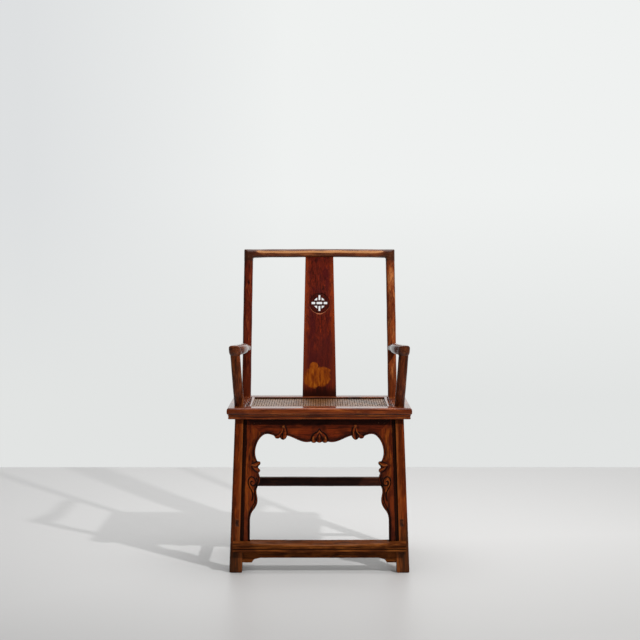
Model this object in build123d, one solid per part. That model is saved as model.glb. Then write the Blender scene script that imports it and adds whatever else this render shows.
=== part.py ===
from build123d import *
import math
import os

# Southern official's hat armchair in hardwood, joined with mortises and tenons.
# Millimetres, +Z up, the front faces -Y and the floor is at Z = 0. The pieces are made with X and Y
# measured from the middle of the seat frame, and are moved at the end so that the chair's box is
# centred on the origin. "Right" is +X.

# Fits
joint_gap = 0.12             # clearance all round a tenon, tongue or peg
shell_gap = 0.15             # clearance where one curved face is scribed to another

# Seat frame
seat_width = 590.0
seat_depth = 470.0
seat_height = 528.0          # floor to the top of the frame
rail_thickness = 36.0
rail_face = 62.0             # flat top of a rail, from its outer edge to the recess
ledge_width = 14.0           # recess along the inner edge, which carries the mat and the press strips
strip_thickness = 6.0
strip_round = 1.8
mat_thickness = 2.0
webbing_thickness = 3.0
frame_tenon_width = 14.0
frame_tenon_thickness = 9.0
frame_tenon_inset = 1.5      # from the rail's inner edge
frame_tenon_rise = 7.0       # above the rail's underside
frame_tenon_end = 14.0       # stops short of the outer edge
rail_line_inset = 5.5        # incised line, from the recess
rail_line_width = 1.6
rail_line_depth = 1.0

# Moulding of the rails' outer faces, from the top: round, groove, flat band, groove, bead.
# Setbacks are measured inwards from the rail's outer edge.
rail_round_height = 9.0
rail_round_inset = 4.5
rail_shoulder_setback = 2.6
rail_shoulder_height = 1.0
rail_groove_setback = 5.2
rail_groove_height = 2.0
rail_band_setback = 3.8
rail_band_height = 3.0
rail_quirk_setback = 6.8
rail_quirk_height = 2.0
rail_bead_shoulder = 5.8
rail_bead_setback = 4.6
rail_bead_height = 7.6
rail_bead_foot = 7.0
groove_lean = 0.6            # the grooves' sides lean this much

# Legs
leg_setback = 25.0           # a rail's outer edge stands this far outside the leg
leg_top = 37.0               # square section under the frame
leg_foot = 41.0              # square section at the floor
leg_splay = 18.5             # the outer faces lean out this far over the leg's height, both ways
leg_outer_round = 11.0
leg_round = 3.0
leg_foot_chamfer = 2.0
leg_rebate_width = 10.0      # channel down the front legs, beside the apron
leg_rebate_depth = 6.0
leg_tenon = 12.0
leg_tenon_offset = 9.0
leg_tenon_height = 12.0

# Rear posts, which grow out of the rear legs
post_diameter = 30.5
post_neck = 27.0             # round stretch that passes through the frame
post_side_inset = 45.0       # from the frame's outer edge to the post's middle
post_rear_inset = 42.0
post_lean_in = 5.5           # inwards, from the frame to the joint under the crest
post_lean = 66.0             # backwards, over the same height
post_bow = 10.0              # the lean's arc stands this far behind its chord
post_tenon = 15.0

# Crest rail
crest_top = 1032.0
crest_height = 28.5
crest_depth = 30.0
crest_round = 12.5
crest_rise = 1.7             # the middle stands higher than the ends
crest_bow = 14.0             # the middle stands further back than the ends
crest_cap_drop = 11.0        # the turned-down ends reach this far below the rail
crest_cap_diameter = 31.5
crest_cap_round = 3.0
crest_cap_rise = 0.5         # their tops stand this far above the rail
crest_tenon_length = 24.0

# Back splat
splat_bottom_width = 115.5
splat_top_width = 96.6
splat_thickness = 13.0
splat_seat_inset = 39.0      # its middle line stands this far inside the frame's rear edge
splat_lumbar_inset = 41.0
splat_lumbar_rise = 112.0    # heights above the seat frame
splat_waist_inset = 19.0
splat_waist_rise = 237.0
splat_shoulder_overhang = 14.0    # behind the frame's rear edge
splat_shoulder_rise = 362.0
splat_in_rail = 12.0
splat_in_crest = 9.0

# Round openwork in the splat
medallion_drop = 186.0       # from the crest's top to the openwork's middle
medallion_disc = 34.6        # radius of the sunken disc that the openwork is cut in
medallion_sink = 1.8
medallion_reach = 28.5
medallion_inner_ring = 21.0
slot_width_upright = 6.8
slot_width_level = 8.3
slot_start_upright = 10.4
slot_start_level = 15.3
slot_centre_reach = 10.2
corner_start_x = 7.8
corner_start_z = 9.6

# Arm posts and arms
arm_post_diameter = 31.5
arm_post_side_inset = 37.5   # from the frame's outer edge to the post's middle
arm_post_front_inset = 74.0
arm_post_spread = 14.8       # its top stands this far further out
arm_post_reach = 17.0        # and this far further forward
arm_post_bow = 8.0
arm_post_tenon = 16.0
arm_post_tenon_depth = 15.0
arm_post_cap_tenon = 20.0
arm_diameter = 30.0
arm_front_rise = 181.0       # from the seat frame to the middle of the arm at the knuckle
arm_rear_rise = 165.0        # the same at the rear post
arm_elbow_rise = 168.5
arm_elbow_side_inset = 33.0  # from the frame's outer edge
arm_elbow_rear_inset = 95.0
arm_waist_rise = 176.0
arm_waist_side_inset = 45.0
arm_waist_rear_inset = 190.0
arm_wrist_side_inset = 48.5
arm_wrist_front_inset = 165.0
arm_arc_share = 0.45         # of the shorter run beside a corner, taken up by the corner's arc
arm_tenon = 14.0
arm_tenon_depth = 12.0
knuckle_diameter = 39.5
knuckle_top_round = 5.0
knuckle_drop = 17.0          # its joint lies this far below the arm's middle
knuckle_collar = 12.0        # hollow collar above the joint
knuckle_collar_bulge = 1.0
knuckle_rise = 0.8           # its top stands this far above the arm

# Carved front arch and plainer side arches
arch_unit_length = 10.0      # the carver's measure, in which the outlines are laid out
arch_middle_depth = 77.4
arch_motif = 27.0            # half the width of the middle motif
arch_motif_depth = 73.6
arch_leaf = 129.9            # the leaves start this far from the leg
arch_leaf_depth = 54.6
arch_mitre = 53.2            # the mitre ends this far from the leg and from the frame
apron_thickness = 12.0
apron_setback = 5.0
apron_gap = 0.1              # between an apron's edge and the leg
tongue_thickness = 4.0
tongue_depth = 4.0
back_apron_height = 42.0
back_apron_bracket = 62.0
back_apron_bracket_width = 40.0
back_apron_bracket_foot = 16.0
side_apron_height = 46.0
side_apron_width = 24.0
side_apron_foot_width = 17.0
side_apron_corner = 34.0
side_apron_run = 60.0        # the ogee beside a corner
side_apron_step = 1.0

# Foot rail
foot_rail_length = 552.0
foot_rail_depth = 58.0
foot_rail_lap = 25.5         # stands in front of the legs' faces under its top
foot_rail_top = 102.0
foot_rail_thickness = 32.0
foot_rail_wear = 11.0        # hollow worn into the front edge by feet
foot_rail_wear_width = 510.0
foot_round_height = 7.0      # moulding of its front edge: round, groove, reed, groove, bead
foot_round_inset = 4.5
foot_round_shoulder = 1.6
foot_reed_height = 4.8
foot_reed_setback = 2.0
foot_reed_shoulder = 2.7
foot_groove_height = 2.2
foot_groove_setback = 4.6
foot_bead_height = 8.0
foot_bead_setback = 2.4
foot_bead_shoulder = 4.2
foot_tenon_width = 10.0
foot_tenon_height = 20.0
foot_tenon_depth = 20.0
foot_apron_thickness = 10.0
foot_apron_height = 23.0
foot_bracket_height = 38.0
foot_bracket_width = 39.0
foot_bracket_run = 18.0
foot_bracket_curl = 9.0
foot_apron_setback = 4.0

# Stretchers
side_stretcher_height = 160.0
side_stretcher_width = 22.0
side_stretcher_thickness = 30.0
side_tenon_width = 13.0
side_tenon_height = 25.0
back_stretcher_height = 233.0
back_stretcher_width = 24.0
back_stretcher_thickness = 31.0
back_tenon_width = 11.0
back_tenon_height = 20.0
back_tenon_depth = 22.0
stretcher_round = 6.0

# Braces under the mat
brace_spacing = 150.0
brace_width = 22.0
brace_thickness = 15.0
brace_sag = 9.0
brace_tenon = 10.0
brace_drop = 4.0             # from the webbing to the brace's ends

# Pegs
peg_diameter = 5.0
apron_peg_diameter = 4.0
apron_peg_drops = (13.0, 15.0)
apron_peg_insets = (44.0, 25.0)   # further from the leg than down, so that both miss the mitre
peg_proud = 0.4

# Worked out from the sizes above
rail_width = rail_face + ledge_width
rail_underside = seat_height - rail_thickness
ledge_height = seat_height - strip_thickness - mat_thickness - webbing_thickness
webbing_top = ledge_height + webbing_thickness
mat_top = webbing_top + mat_thickness
half_width = seat_width / 2
half_depth = seat_depth / 2
leg_face_x = half_width - leg_setback
leg_face_y = half_depth - leg_setback
post_base_x = half_width - post_side_inset
post_base_y = half_depth - post_rear_inset
post_top_x = post_base_x - post_lean_in
arm_post_base_x = half_width - arm_post_side_inset
arm_post_base_y = arm_post_front_inset - half_depth
arm_post_top_x = arm_post_base_x + arm_post_spread
arm_post_top_y = arm_post_base_y - arm_post_reach
arm_front_height = seat_height + arm_front_rise
knuckle_joint_height = arm_front_height - knuckle_drop
leg_tilt = math.degrees(math.atan2(leg_splay, rail_underside))
leg_inner_slope = (leg_splay - leg_foot + leg_top) / rail_underside
crest_end_height = crest_top - crest_rise - crest_height / 2
crest_middle_height = crest_top - crest_height / 2
post_joint_height = crest_end_height - crest_height / 2 - crest_cap_drop
foot_rail_bottom = foot_rail_top - foot_rail_thickness
beyond = 2 * seat_width      # larger than the chair, for cutting tools


def block(low, high):
    """Box between two opposite corners."""
    size = [b - a for a, b in zip(low, high)]
    middle = [(a + b) / 2 for a, b in zip(low, high)]
    return Pos(*middle) * Box(*size)


def slice_between(bottom, top):
    """Everything between two heights."""
    return block((-beyond, -beyond, bottom), (beyond, beyond, top))


def outline(start, *strokes):
    """Flat face inside strokes: one point draws a line, two an arc, more a smooth curve."""
    here = start
    edges = []
    for points in strokes:
        if len(points) == 1:
            edges.append(Line(here, points[0]))
        elif len(points) == 2:
            edges.append(ThreePointArc(here, points[0], points[1]))
        else:
            edges.append(Spline(here, *points))
        here = points[-1]
    if math.dist(here, start) > 0.001:
        edges.append(Line(here, start))
    return make_face(edges)


def laid_out(x, y, *points):
    """Points in the carver's measure, from a place (x, y)."""
    return [(x + across * arch_unit_length, y + up * arch_unit_length) for across, up in points]


def plate(plane, face, start, end):
    """Flat face on a plane, made a plate between two distances along the plane's Z."""
    return extrude(plane.offset(start) * face, amount=end - start, dir=plane.z_dir)


def mirrored_strokes(start, strokes):
    """Outline strokes of the left half, from those of the right half walked from its start."""
    points = [start]
    kinds = []
    for stroke in strokes:
        points.extend(stroke)
        kinds.append(len(stroke))
    points = [(-x, y) for x, y in reversed(points)]
    result = []
    place = 1
    for count in reversed(kinds):
        result.append(points[place:place + count])
        place += count
    return result


def to_left(piece):
    return mirror(piece, about=Plane.YZ)


def to_front(piece):
    return mirror(piece, about=Plane.XZ)


# ---- Seat frame


def rail_section():
    """Section of a seat rail: X runs outwards from its inner edge, Y up from its underside."""
    w = rail_width
    t = rail_thickness
    line_out = ledge_width + rail_line_inset + rail_line_width
    quirk_top = rail_bead_height + rail_quirk_height
    band_top = quirk_top + rail_band_height
    groove_top = band_top + rail_groove_height
    return outline(
        (0, 0),
        [(w - rail_bead_foot, 0)],
        [(w - rail_bead_setback, rail_bead_height / 2), (w - rail_bead_shoulder, rail_bead_height)],
        [(w - rail_quirk_setback, rail_bead_height + groove_lean)],
        [(w - rail_quirk_setback, quirk_top)],
        [(w - rail_band_setback, quirk_top + groove_lean)],
        [(w - rail_band_setback, band_top)],
        [(w - rail_groove_setback, band_top + groove_lean)],
        [(w - rail_groove_setback, groove_top)],
        [(w - rail_shoulder_setback, groove_top + rail_shoulder_height)],
        [(w, t - rail_round_height), (w - rail_round_inset, t)],
        [(line_out, t)],
        [(line_out - rail_line_width / 2, t - rail_line_depth)],
        [(line_out - rail_line_width, t)],
        [(ledge_width, t)],
        [(ledge_width, ledge_height - rail_underside)],
        [(0, ledge_height - rail_underside)],
    )


def mitred_bar(section, inner_reach, depth, half_length):
    """Bar along X whose section starts at Y = inner_reach, with ends mitred at 45 degrees."""
    plane = Plane(origin=(-half_length, inner_reach, 0), x_dir=(0, 1, 0), z_dir=(1, 0, 0))
    bar = plate(plane, section, 0, 2 * half_length)
    inner = half_length - depth
    plan = Polygon(
        (-half_length, inner_reach + depth), (-inner, inner_reach),
        (inner, inner_reach), (half_length, inner_reach + depth), align=None)
    return bar & plate(Plane.XY, plan, -beyond, beyond)


def frame_tenon(grow=0.0):
    """Tenon of a long rail into the right-hand side rail, in the rear right corner."""
    low_y = half_depth - rail_width + frame_tenon_inset
    low_x = half_width - rail_width - frame_tenon_inset
    low_z = rail_underside + frame_tenon_rise
    return block(
        (low_x, low_y - grow, low_z - grow),
        (half_width - frame_tenon_end + grow, low_y + frame_tenon_width + grow,
         low_z + frame_tenon_thickness + grow))


def side_rail_plan():
    """Outline of the right-hand side rail seen from above, run through the whole height."""
    inner_x = half_width - rail_width
    inner_y = half_depth - rail_width
    plan = Polygon((half_width, -half_depth), (half_width, half_depth),
                   (inner_x, inner_y), (inner_x, -inner_y), align=None)
    return plate(Plane.XY, plan, -beyond, beyond)


def leg_centre(height):
    """Distance of a leg's middle from the chair's middle, along X and Y, and its width there."""
    drop = rail_underside - height
    width = leg_top + (leg_foot - leg_top) * drop / rail_underside
    reach = leg_splay * drop / rail_underside
    return leg_face_x + reach - width / 2, leg_face_y + reach - width / 2, width


def leg_tenons(grow=0.0):
    """Twin tenons on top of a leg: one for the long rail and one for the side rail."""
    x, y, width = leg_centre(rail_underside)
    half = leg_tenon / 2 + grow
    low = rail_underside - grow
    high = rail_underside + leg_tenon_height + grow
    pair = []
    for turn in (-1, 1):
        mid_x = x + turn * leg_tenon_offset
        mid_y = y - turn * leg_tenon_offset
        pair.append(block((mid_x - half, mid_y - half, low), (mid_x + half, mid_y + half, high)))
    return pair[0] + pair[1]


def post_neck_piece(grow=0.0):
    """Round stretch of a rear post inside the frame."""
    return Pos(post_base_x, post_base_y, rail_underside - grow) * Cylinder(
        post_neck / 2 + grow, rail_thickness + 2 * grow,
        align=(Align.CENTER, Align.CENTER, Align.MIN))


def arm_post_foot(grow=0.0):
    """Round tenon of the right arm post into its side rail."""
    return Pos(arm_post_base_x, arm_post_base_y, seat_height) * Cylinder(
        arm_post_tenon / 2 + grow, 2 * (arm_post_tenon_depth + grow))


def brace_piece(side, grow=0.0):
    """Bowed brace from the front rail to the back rail, with a tenon at each end."""
    inner = half_depth - rail_width
    end = inner + brace_tenon + grow
    top = ledge_height - brace_drop + grow
    low = top - brace_thickness - 2 * grow
    face = outline(
        (-end, top), [(-inner, top)], [(0, top - brace_sag), (inner, top)], [(end, top)],
        [(end, low)], [(inner, low)], [(0, low - brace_sag), (-inner, low)], [(-end, low)])
    wide = brace_width + 2 * grow
    plane = Plane(origin=(side * brace_spacing / 2 - wide / 2, 0, 0), x_dir=(0, 1, 0), z_dir=(1, 0, 0))
    return plate(plane, face, 0, wide)


def long_rail(rear):
    """Front or back rail, with a tenon at each end. It is made at the back and turned if needed."""
    rail = mitred_bar(rail_section(), half_depth - rail_width, rail_width, half_width)
    rail = Pos(0, 0, rail_underside) * rail
    tenon = frame_tenon() & side_rail_plan()
    rail = rail + tenon + to_left(tenon)
    for side in (-1, 1):
        rail = rail - brace_piece(side, joint_gap)
    if rear:
        hole = post_neck_piece(joint_gap)
        rail = rail - hole - to_left(hole) - splat_piece(joint_gap)
    else:
        holes = leg_tenons(joint_gap)
        rail = rail - holes - to_left(holes)
        rail = to_front(rail)
    return rail


def side_rail():
    """Right-hand side rail."""
    bar = mitred_bar(rail_section(), half_width - rail_width, rail_width, half_depth)
    bar = Pos(0, 0, rail_underside) * Rot(0, 0, -90) * bar
    mortise = frame_tenon(joint_gap)
    bar = bar - mortise - to_front(mortise) - post_neck_piece(joint_gap)
    bar = bar - to_front(leg_tenons(joint_gap)) - arm_post_foot(joint_gap)
    return bar


def press_strip(half_length, half_across):
    """Strip that holds the mat down in the recess, mitred at its ends. It is made at the back."""
    width = ledge_width - joint_gap
    section = Rectangle(width, strip_thickness, align=(Align.MIN, Align.MIN))
    section = fillet(section.vertices().group_by(Axis.Y)[-1], strip_round)
    strip = mitred_bar(section, half_across - width, width, half_length)
    return Pos(0, 0, mat_top) * strip


def seat_sheet(bottom, thickness):
    """Mat or webbing, laid in the recess under the press strips."""
    reach_x = half_width - rail_face - joint_gap
    reach_y = half_depth - rail_face - joint_gap
    return block((-reach_x, -reach_y, bottom), (reach_x, reach_y, bottom + thickness))


# ---- Legs and rear posts


def leg_section(height):
    """Square section of the rear right leg, its outer corner well rounded."""
    x, y, width = leg_centre(height)
    face = Rectangle(width, width)
    outer = face.vertices().sort_by(lambda v: v.X + v.Y)[-1]
    face = fillet(outer, leg_outer_round)
    sharp = [v for v in face.vertices() if abs(v.X) + abs(v.Y) > width - 0.01]
    face = fillet(sharp, leg_round)
    return Pos(x, y, height) * face


def leg_block(grow=0.0):
    """Plain square leg without its rounded corners, for scribing other pieces to it."""
    faces = []
    for height in (0.0, rail_underside):
        x, y, width = leg_centre(height)
        faces.append(Pos(x, y, height) * Rectangle(width + 2 * grow, width + 2 * grow))
    return loft(faces, ruled=True)


def leg_body():
    leg = loft([leg_section(0.0), leg_section(rail_underside)], ruled=True)
    return chamfer(leg.faces().sort_by(Axis.Z)[0].edges(), leg_foot_chamfer)


def front_leg_rebate():
    """Channel cut down the inner front corner of a leg, from the foot rail to the frame."""
    faces = []
    for height in (foot_rail_bottom, rail_underside):
        x, y, width = leg_centre(height)
        corner = Pos(x - width / 2, y + width / 2, height)
        faces.append(corner * Rectangle(2 * leg_rebate_width, 2 * leg_rebate_depth))
    return loft(faces, ruled=True)


def post_path():
    """Arc of a rear post's middle line, from just inside the frame to the joint under the crest."""
    start = Vector(post_base_x, post_base_y, seat_height)
    end = Vector(post_top_x, post_base_y + post_lean, post_joint_height)
    middle = (start + end) / 2 - Vector(0, post_bow, 0)
    return ThreePointArc(start, middle, end)


def post_round(grow=0.0):
    """Round rear post above the frame. It is trimmed level with the top of the frame."""
    path = post_path()
    section = Plane(origin=path @ 0, z_dir=path % 0) * Circle(post_diameter / 2 + grow)
    shaft = sweep(section, path=path)
    start_tangent = (path % 0).normalized()
    stub = Plane(origin=path @ 0, z_dir=start_tangent) * Cylinder(
        post_diameter / 2 + grow, post_diameter, align=(Align.CENTER, Align.CENTER, Align.MAX))
    return (shaft + stub) & slice_between(seat_height, beyond)


def post_end_plane():
    """Plane at the top of a rear post, its Z along the post."""
    path = post_path()
    return Plane(origin=path @ 1, x_dir=(1, 0, 0), z_dir=path % 1)


def post_top_tenon(grow=0.0):
    side = post_tenon + 2 * grow
    return post_end_plane() * Box(
        side, side, crest_tenon_length + grow, align=(Align.CENTER, Align.CENTER, Align.MIN))


def crest_end_point():
    """Where the crest's middle line meets the post's middle line."""
    path = post_path()
    along = (path % 1).normalized()
    return (path @ 1) + along * ((crest_end_height - post_joint_height) / along.Z)


def rear_post():
    leg = leg_body() + post_neck_piece() + post_round() + post_top_tenon()
    leg = leg - back_stretcher_tenon(joint_gap) - side_stretcher_tenon(joint_gap)
    for tongue in (side_tongue(joint_gap), back_tongue(joint_gap)):
        leg = leg - tongue
    leg = leg - arm_tenon_piece(joint_gap) - crest_peg(joint_gap)
    return leg


def front_leg():
    """Right front leg. It is made in the rear right corner and turned to the front."""
    leg = leg_body() + leg_tenons() - front_leg_rebate()
    leg = leg - side_stretcher_tenon(joint_gap) - side_tongue(joint_gap)
    leg = to_front(leg)
    return leg - foot_rail_tenon(joint_gap) - front_tongue(joint_gap)


# ---- Crest and splat


def crest_path():
    end = crest_end_point()
    middle = Vector(0, end.Y + crest_bow, crest_middle_height)
    return ThreePointArc(Vector(-end.X, end.Y, end.Z), middle, end)


def crest_bar():
    path = crest_path()
    along = (path % 0).normalized()
    upright = Vector(0, (post_path() % 1).Y, (post_path() % 1).Z)
    section = Plane(origin=path @ 0, x_dir=along.cross(upright), z_dir=along) * RectangleRounded(
        crest_depth, crest_height, crest_round)
    return sweep(section, path=path)


def crest_cap():
    """Turned-down right end of the crest, which the post's tenon enters from below."""
    along = (post_path() % 1).normalized()
    length = (crest_end_height - post_joint_height) / along.Z + crest_height / 2 + crest_cap_rise
    cap = Cylinder(crest_cap_diameter / 2, length, align=(Align.CENTER, Align.CENTER, Align.MIN))
    cap = fillet(cap.edges().sort_by(Axis.Z)[-1], crest_cap_round)
    return post_end_plane() * cap


def crest_peg(grow=0.0):
    """Peg through a crest cap and the tenon in it."""
    middle = post_end_plane().location * Pos(0, 0, crest_tenon_length / 2)
    return middle * Rot(90, 0, 0) * Cylinder(
        peg_diameter / 2 + grow, crest_cap_diameter + 2 * (peg_proud + grow))


def crest_rail():
    crest = crest_bar() + crest_cap() + to_left(crest_cap())
    for cut in (post_top_tenon(joint_gap), crest_peg(joint_gap)):
        crest = crest - cut - to_left(cut)
    return crest - splat_piece(joint_gap)


def splat_line():
    """Middle line of the splat seen from the side, as (Y, Z) from the frame to the crest."""
    low = seat_height - splat_in_rail
    high = crest_top - crest_height + splat_in_crest
    return [
        (half_depth - splat_seat_inset, low),
        (half_depth - splat_lumbar_inset, seat_height + splat_lumbar_rise),
        (half_depth - splat_waist_inset, seat_height + splat_waist_rise),
        (half_depth + splat_shoulder_overhang, seat_height + splat_shoulder_rise),
        (crest_end_point().Y + crest_bow, high),
    ]


def splat_layer(front, back, grow_ends=0.0, width=2 * splat_bottom_width):
    """Curved board between two distances in front of and behind the splat's middle line."""
    points = splat_line()
    points[0] = (points[0][0], points[0][1] - grow_ends)
    points[-1] = (points[-1][0], points[-1][1] + grow_ends)
    face_front = [(y - front, z) for y, z in points]
    face_back = [(y + back, z) for y, z in reversed(points)]
    face = outline(face_front[0], face_front[1:], [face_back[0]], face_back[1:])
    return plate(Plane.YZ, face, -width / 2, width / 2)


def splat_piece(grow=0.0):
    """The splat without its openwork."""
    half = splat_thickness / 2 + grow
    board = splat_layer(half, half, grow)
    low = seat_height
    high = crest_top - crest_height
    slope = (splat_top_width - splat_bottom_width) / 2 / (high - low)
    below = low - beyond
    above = high + beyond
    wide = splat_bottom_width / 2 + grow
    front = Polygon(
        (-wide - slope * (below - low), below), (wide + slope * (below - low), below),
        (wide + slope * (above - low), above), (-wide - slope * (above - low), above), align=None)
    return board & plate(Plane.XZ, front, -beyond, beyond)


def medallion_face():
    """Openings of the round lattice: a level centre slot, four slots and four corner pieces."""
    disc = Circle(medallion_reach)
    face = Rectangle(2 * slot_centre_reach, slot_width_level)
    for turn in (-1, 1):
        level = Pos(turn * (slot_start_level + medallion_reach) / 2, 0) * Rectangle(
            medallion_reach - slot_start_level, slot_width_level)
        upright = Pos(0, turn * (slot_start_upright + medallion_reach) / 2) * Rectangle(
            slot_width_upright, medallion_reach - slot_start_upright)
        face = face + (level & disc) + (upright & disc)
        for lift in (-1, 1):
            square = Pos(turn * (corner_start_x + medallion_reach) / 2,
                         lift * (corner_start_z + medallion_reach) / 2) * Rectangle(
                medallion_reach - corner_start_x, medallion_reach - corner_start_z)
            face = face + (square & Circle(medallion_inner_ring))
    return face


def back_splat():
    splat = splat_piece()
    plane = Plane(origin=(0, 0, crest_top - medallion_drop), x_dir=(1, 0, 0), z_dir=(0, -1, 0))
    splat = splat - plate(plane, medallion_face(), -beyond, beyond)
    skin = splat_layer(splat_thickness, medallion_sink - splat_thickness / 2)
    return splat - (plate(plane, Circle(medallion_disc), -beyond, beyond) & skin)


# ---- Arm posts and arms


def arm_post_path():
    start = Vector(arm_post_base_x, arm_post_base_y, seat_height)
    end = Vector(arm_post_top_x, arm_post_top_y, knuckle_joint_height)
    return ThreePointArc(start, (start + end) / 2 - Vector(0, arm_post_bow, 0), end)


def arm_post_cap_tenon_piece(grow=0.0):
    """Tenon of the arm post into the knuckle."""
    side = arm_post_tenon + 2 * grow
    return Pos(arm_post_top_x, arm_post_top_y, knuckle_joint_height) * Box(
        side, side, arm_post_cap_tenon + grow, align=(Align.CENTER, Align.CENTER, Align.MIN))


def arm_post():
    path = arm_post_path()
    radius = arm_post_diameter / 2
    post = sweep(Plane(origin=path @ 0, z_dir=path % 0) * Circle(radius), path=path)
    for place, align in ((0, Align.MAX), (1, Align.MIN)):
        post = post + Plane(origin=path @ place, z_dir=path % place) * Cylinder(
            radius, radius, align=(Align.CENTER, Align.CENTER, align))
    post = post & slice_between(seat_height, knuckle_joint_height)
    return post + arm_post_foot() + arm_post_cap_tenon_piece() - arm_peg(joint_gap)


def post_centre(height):
    """Middle of the rear post at a height, from its arc."""
    path = post_path()
    low = 0.0
    high = 1.0
    for step in range(40):
        place = (low + high) / 2
        if (path @ place).Z < height:
            low = place
        else:
            high = place
    return path @ low


def arm_route():
    """Points of the arm's middle line: out behind the elbow, in at the waist, out to the knuckle."""
    rear = post_centre(seat_height + arm_rear_rise)
    return [
        (rear.X, rear.Y, rear.Z),
        (half_width - arm_elbow_side_inset, half_depth - arm_elbow_rear_inset, seat_height + arm_elbow_rise),
        (half_width - arm_waist_side_inset, half_depth - arm_waist_rear_inset, seat_height + arm_waist_rise),
        (half_width - arm_wrist_side_inset, arm_wrist_front_inset - half_depth, arm_front_height),
        (arm_post_top_x, arm_post_top_y, arm_front_height),
    ]


def arm_path():
    """The route with each corner rounded as far as its shorter run allows."""
    points = [Vector(*p) for p in arm_route()]
    radii = []
    for before, here, after in zip(points, points[1:], points[2:]):
        run_in = here - before
        run_out = after - here
        half_turn = math.radians(run_in.get_angle(run_out)) / 2
        tangent = min(run_in.length, run_out.length) * arm_arc_share
        radii.append(tangent / math.tan(half_turn))
    return FilletPolyline(*points, radius=radii)


def knuckle():
    """Front end of the arm, turned down over the arm post."""
    half = knuckle_diameter / 2
    neck = arm_post_diameter / 2 + shell_gap
    top = arm_front_height + arm_diameter / 2 + knuckle_rise
    low = knuckle_joint_height
    turn = knuckle_top_round * (1 - math.sqrt(0.5))
    face = outline(
        (0, low), [(neck, low)],
        [(half - knuckle_collar_bulge, low + knuckle_collar / 2), (half, low + knuckle_collar)],
        [(half, top - knuckle_top_round)],
        [(half - turn, top - turn), (half - knuckle_top_round, top)], [(0, top)])
    plane = Plane(origin=(0, 0, 0), x_dir=(1, 0, 0), z_dir=(0, -1, 0))
    return Pos(arm_post_top_x, arm_post_top_y, 0) * revolve(plane * face, axis=Axis.Z)


def arm_tenon_piece(grow=0.0):
    """Round tenon of the arm into the rear post, along the arm's first run."""
    path = arm_path()
    inside = post_diameter / 2 - arm_tenon_depth - grow
    plane = Plane(origin=path @ 0, z_dir=path % 0)
    return plane * Pos(0, 0, inside) * Cylinder(
        arm_tenon / 2 + grow, post_diameter, align=(Align.CENTER, Align.CENTER, Align.MIN))


def arm_peg(grow=0.0):
    """Peg through the knuckle and the post's tenon, from front to back."""
    return Pos(arm_post_top_x, arm_post_top_y, knuckle_joint_height + arm_post_cap_tenon / 2) * Rot(
        90, 0, 0) * Cylinder(peg_diameter / 2 + grow, knuckle_diameter + 2 * (peg_proud + grow))


def arm():
    path = arm_path()
    bar = sweep(Plane(origin=path @ 0, z_dir=path % 0) * Circle(arm_diameter / 2), path=path)
    bar = bar + knuckle() - post_round(shell_gap)
    bar = bar + arm_tenon_piece()
    return bar - arm_post_cap_tenon_piece(joint_gap) - arm_peg(joint_gap)


# ---- Aprons


def bay_plane(outward, reach):
    """Plane of the legs' outer faces on one side: X along the bay, Y up the splayed legs, Z outwards."""
    lean = math.radians(leg_tilt)
    normal = Vector(*outward, 0) * math.cos(lean) + Vector(0, 0, 1) * math.sin(lean)
    upwards = Vector(0, 0, 1) * math.cos(lean) - Vector(*outward, 0) * math.sin(lean)
    origin = Vector(*outward, 0) * reach + Vector(0, 0, rail_underside)
    return Plane(origin=origin, x_dir=upwards.cross(normal), z_dir=normal)


def front_bay():
    return bay_plane((0, -1), leg_face_y)


def back_bay():
    return bay_plane((0, 1), leg_face_y)


def side_bay():
    return bay_plane((1, 0), leg_face_x)


def board_in_bay(plane, face, bottom):
    """Board cut to an outline in a bay's plane, trimmed level under the frame and at its foot."""
    board = plate(plane, face, -apron_setback - apron_thickness, -apron_setback)
    return board & slice_between(bottom, rail_underside)


def half_bay(face_reach):
    """Half the clear width between two legs under the frame."""
    return face_reach - leg_top - apron_gap


def tongue_in_bay(plane, reach, bottom, grow):
    """Tongue along the right-hand edge of a bay's apron, which runs in a groove of the leg."""
    deep = rail_underside - bottom
    inner = reach - tongue_depth
    slope = leg_inner_slope
    outer = reach + tongue_depth + grow
    face = Polygon((inner, 0), (outer, 0), (outer + slope * deep, -deep), (inner + slope * deep, -deep),
                   align=None)
    middle = -apron_setback - apron_thickness / 2
    half = tongue_thickness / 2 + grow
    tongue = plate(plane, face, middle - half, middle + half)
    return tongue & slice_between(bottom, rail_underside)


def front_tongue(grow=0.0):
    return tongue_in_bay(front_bay(), half_bay(leg_face_x), foot_rail_top, grow)


def side_foot():
    """Top of the side stretchers, where the side arches stand."""
    return side_stretcher_height + side_stretcher_thickness / 2


def side_tongue(grow=0.0):
    return tongue_in_bay(side_bay(), half_bay(leg_face_y), side_foot(), grow)


def back_tongue(grow=0.0):
    """Groove side of the back apron in the right rear leg, which is at the bay's left."""
    deep = rail_underside - back_apron_bracket
    return to_left(tongue_in_bay(back_bay(), half_bay(leg_face_x), deep, grow))


def front_top_strokes(edge):
    """Right half of the arch's lower edge, from the middle motif to the mitre. Depths are negative."""
    leaf = edge - arch_leaf
    between = leaf - arch_motif
    return [
        laid_out(0, 0, (0.45, -7.62), (0.90, -7.40)),
        laid_out(0, 0, (1.80, -7.76)) + [(arch_motif, -arch_motif_depth)],
        laid_out(arch_motif + 0.3 * between, 0, (0, -7.44))
        + laid_out(arch_motif + 0.64 * between, 0, (0, -6.50)) + [(leaf, -arch_leaf_depth)],
        laid_out(leaf, 0, (0.35, -6.20), (1.20, -6.78)),
        laid_out(leaf, 0, (1.85, -6.60), (2.30, -6.06)),
        laid_out(leaf, 0, (3.00, -6.40), (3.85, -6.15)),
        laid_out(leaf, 0, (4.05, -5.70), (4.40, -5.40)),
        laid_out(edge, 0, (-7.50, -5.02), (-6.55, -4.92)) + [(edge - arch_mitre, -arch_mitre)],
    ]


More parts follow.
